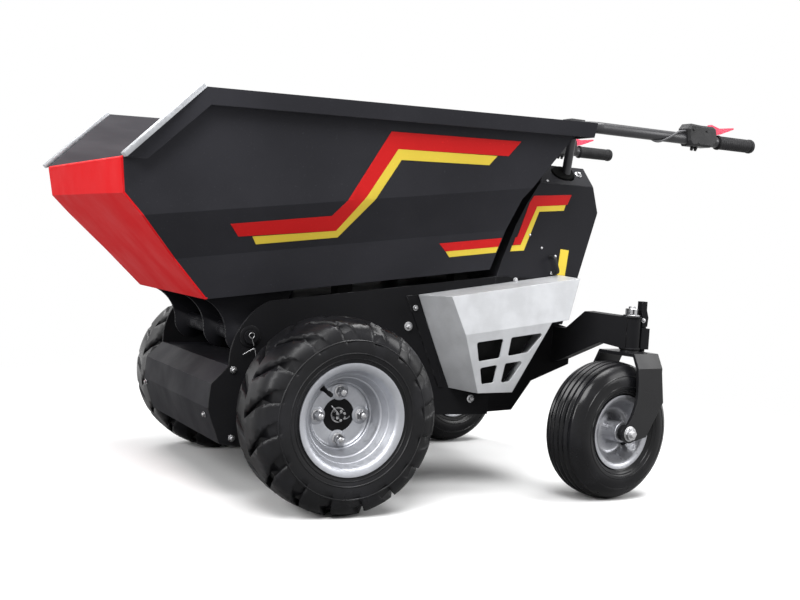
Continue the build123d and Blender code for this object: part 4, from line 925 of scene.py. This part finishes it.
# ---- Handlebar ----------------------------------------------------------------------------------
# One bent steel tube on two leaning posts, semi gloss black. Each arm ends in a rubber grip with a
# plastic control box and a red thumb lever; a thin cable runs from each box into the tube.
bar_black = powder_coat("bar_black_coat", (0.024, 0.024, 0.027), 0.34, 0.40, rub_and_highlight=0.3, peel=0.08)
dress(bar_black, "handlebar", "handlebar_posts")
grip_rubber = moulded("grip_rubber", (0.013, 0.013, 0.014), 0.55, texture=0.4)
dress(grip_rubber, "grip_left", "grip_right")
lever_red = moulded("lever_red", (0.72, 0.018, 0.075), 0.28, texture=0.08, speck=1.15, sheen=0.4)
dress(lever_red, "lever_left", "lever_right")
cable_sheath = moulded("cable_sheath", (0.10, 0.10, 0.105), 0.42)
BAR_Y, BAR_Z = 296.0, 875.0
REARWARDS = (-1, 0, 0)
GRIP_RINGS, FIRST_RING, RING_PITCH = 14, 1074.0, 6.4
FRONT_COLLAR, END_COLLAR = 1062.0, 1167.5
CONTROL_FACE = BAR_Y + 21.8
CONTROL_SCREWS = (
    # behind, above the bar, across
    (966.0, 22.0, 6), (1008.0, 22.0, 6), (986.0, -10.0, 5),
)
STOP_BUTTON = (1030.0, -9.5)       # behind, above the bar
GLANDS_BACK, GLANDS_Y, GLANDS_Z = (989.0, 1001.0), BAR_Y - 6, BAR_Z - 15.0
GLANDS_POINT = (0.25, 0, -1)       # down and a little ahead
DOWNWARDS = (0, 0, -1)
for side, word in SIDES:
    bm = bmesh.new()
    for ring in range(GRIP_RINGS):
        turned(bm, [(0.0, 16.3), (0.6, 17.0), (2.0, 17.0), (2.6, 16.3), (0.0, 16.3)],
               at(FIRST_RING + ring * RING_PITCH, side * BAR_Y, BAR_Z), REARWARDS, 32)
    turned(bm, [(0.0, 16.2), (0.6, 18.4), (4.0, 18.6), (5.0, 16.2), (0.0, 16.2)],
           at(FRONT_COLLAR, side * BAR_Y, BAR_Z), REARWARDS, 36)
    turned(bm, [(0.0, 16.2), (0.8, 17.8), (6.5, 18.0), (9.5, 16.4), (0.0, 16.2)],
           at(END_COLLAR, side * BAR_Y, BAR_Z), REARWARDS, 36)
    assembled(f"grip_ribs_{word}", bm, grip_rubber, "chassis", clean=True)

    # the control box's screws, its stop button, and the glands under it
    bm = bmesh.new()
    for behind, above, across in CONTROL_SCREWS:
        bolt(bm, at(behind, side * CONTROL_FACE, BAR_Z + above), (0, side, 0), across, washer=False)
    assembled(f"control_screws_{word}", bm, plastic, "chassis")
    bm = bmesh.new()
    button = at(STOP_BUTTON[0], side * BAR_Y, BAR_Z + STOP_BUTTON[1])
    prism(bm, 24, 5.5, 0.0, 7.0, button, DOWNWARDS, 0.8)
    assembled(f"stop_button_{word}", bm, lever_red, "chassis")
    bm = bmesh.new()
    for behind in GLANDS_BACK:
        turned(bm, [(0.0, 0.0), (0.0, 5.0), (6.0, 4.6), (10.0, 3.6), (12.0, 3.4), (12.0, 0.0)],
               at(behind, side * GLANDS_Y, GLANDS_Z), GLANDS_POINT, 16)
    assembled(f"control_glands_{word}", bm, plastic, "chassis")

    # the control's cable: out of the box, along under the bar and up into it
    route = [at(962, side * 304, 893), at(934, side * 304, 893), at(910, side * 315, 881),
             at(886, side * 311, 866), at(862, side * 301, 855), at(847, side * 296, 866)]
    cable = wire(f"control_cable_{word}", route, 2.5, cable_sheath, "chassis")
    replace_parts(cable, "control_cables")
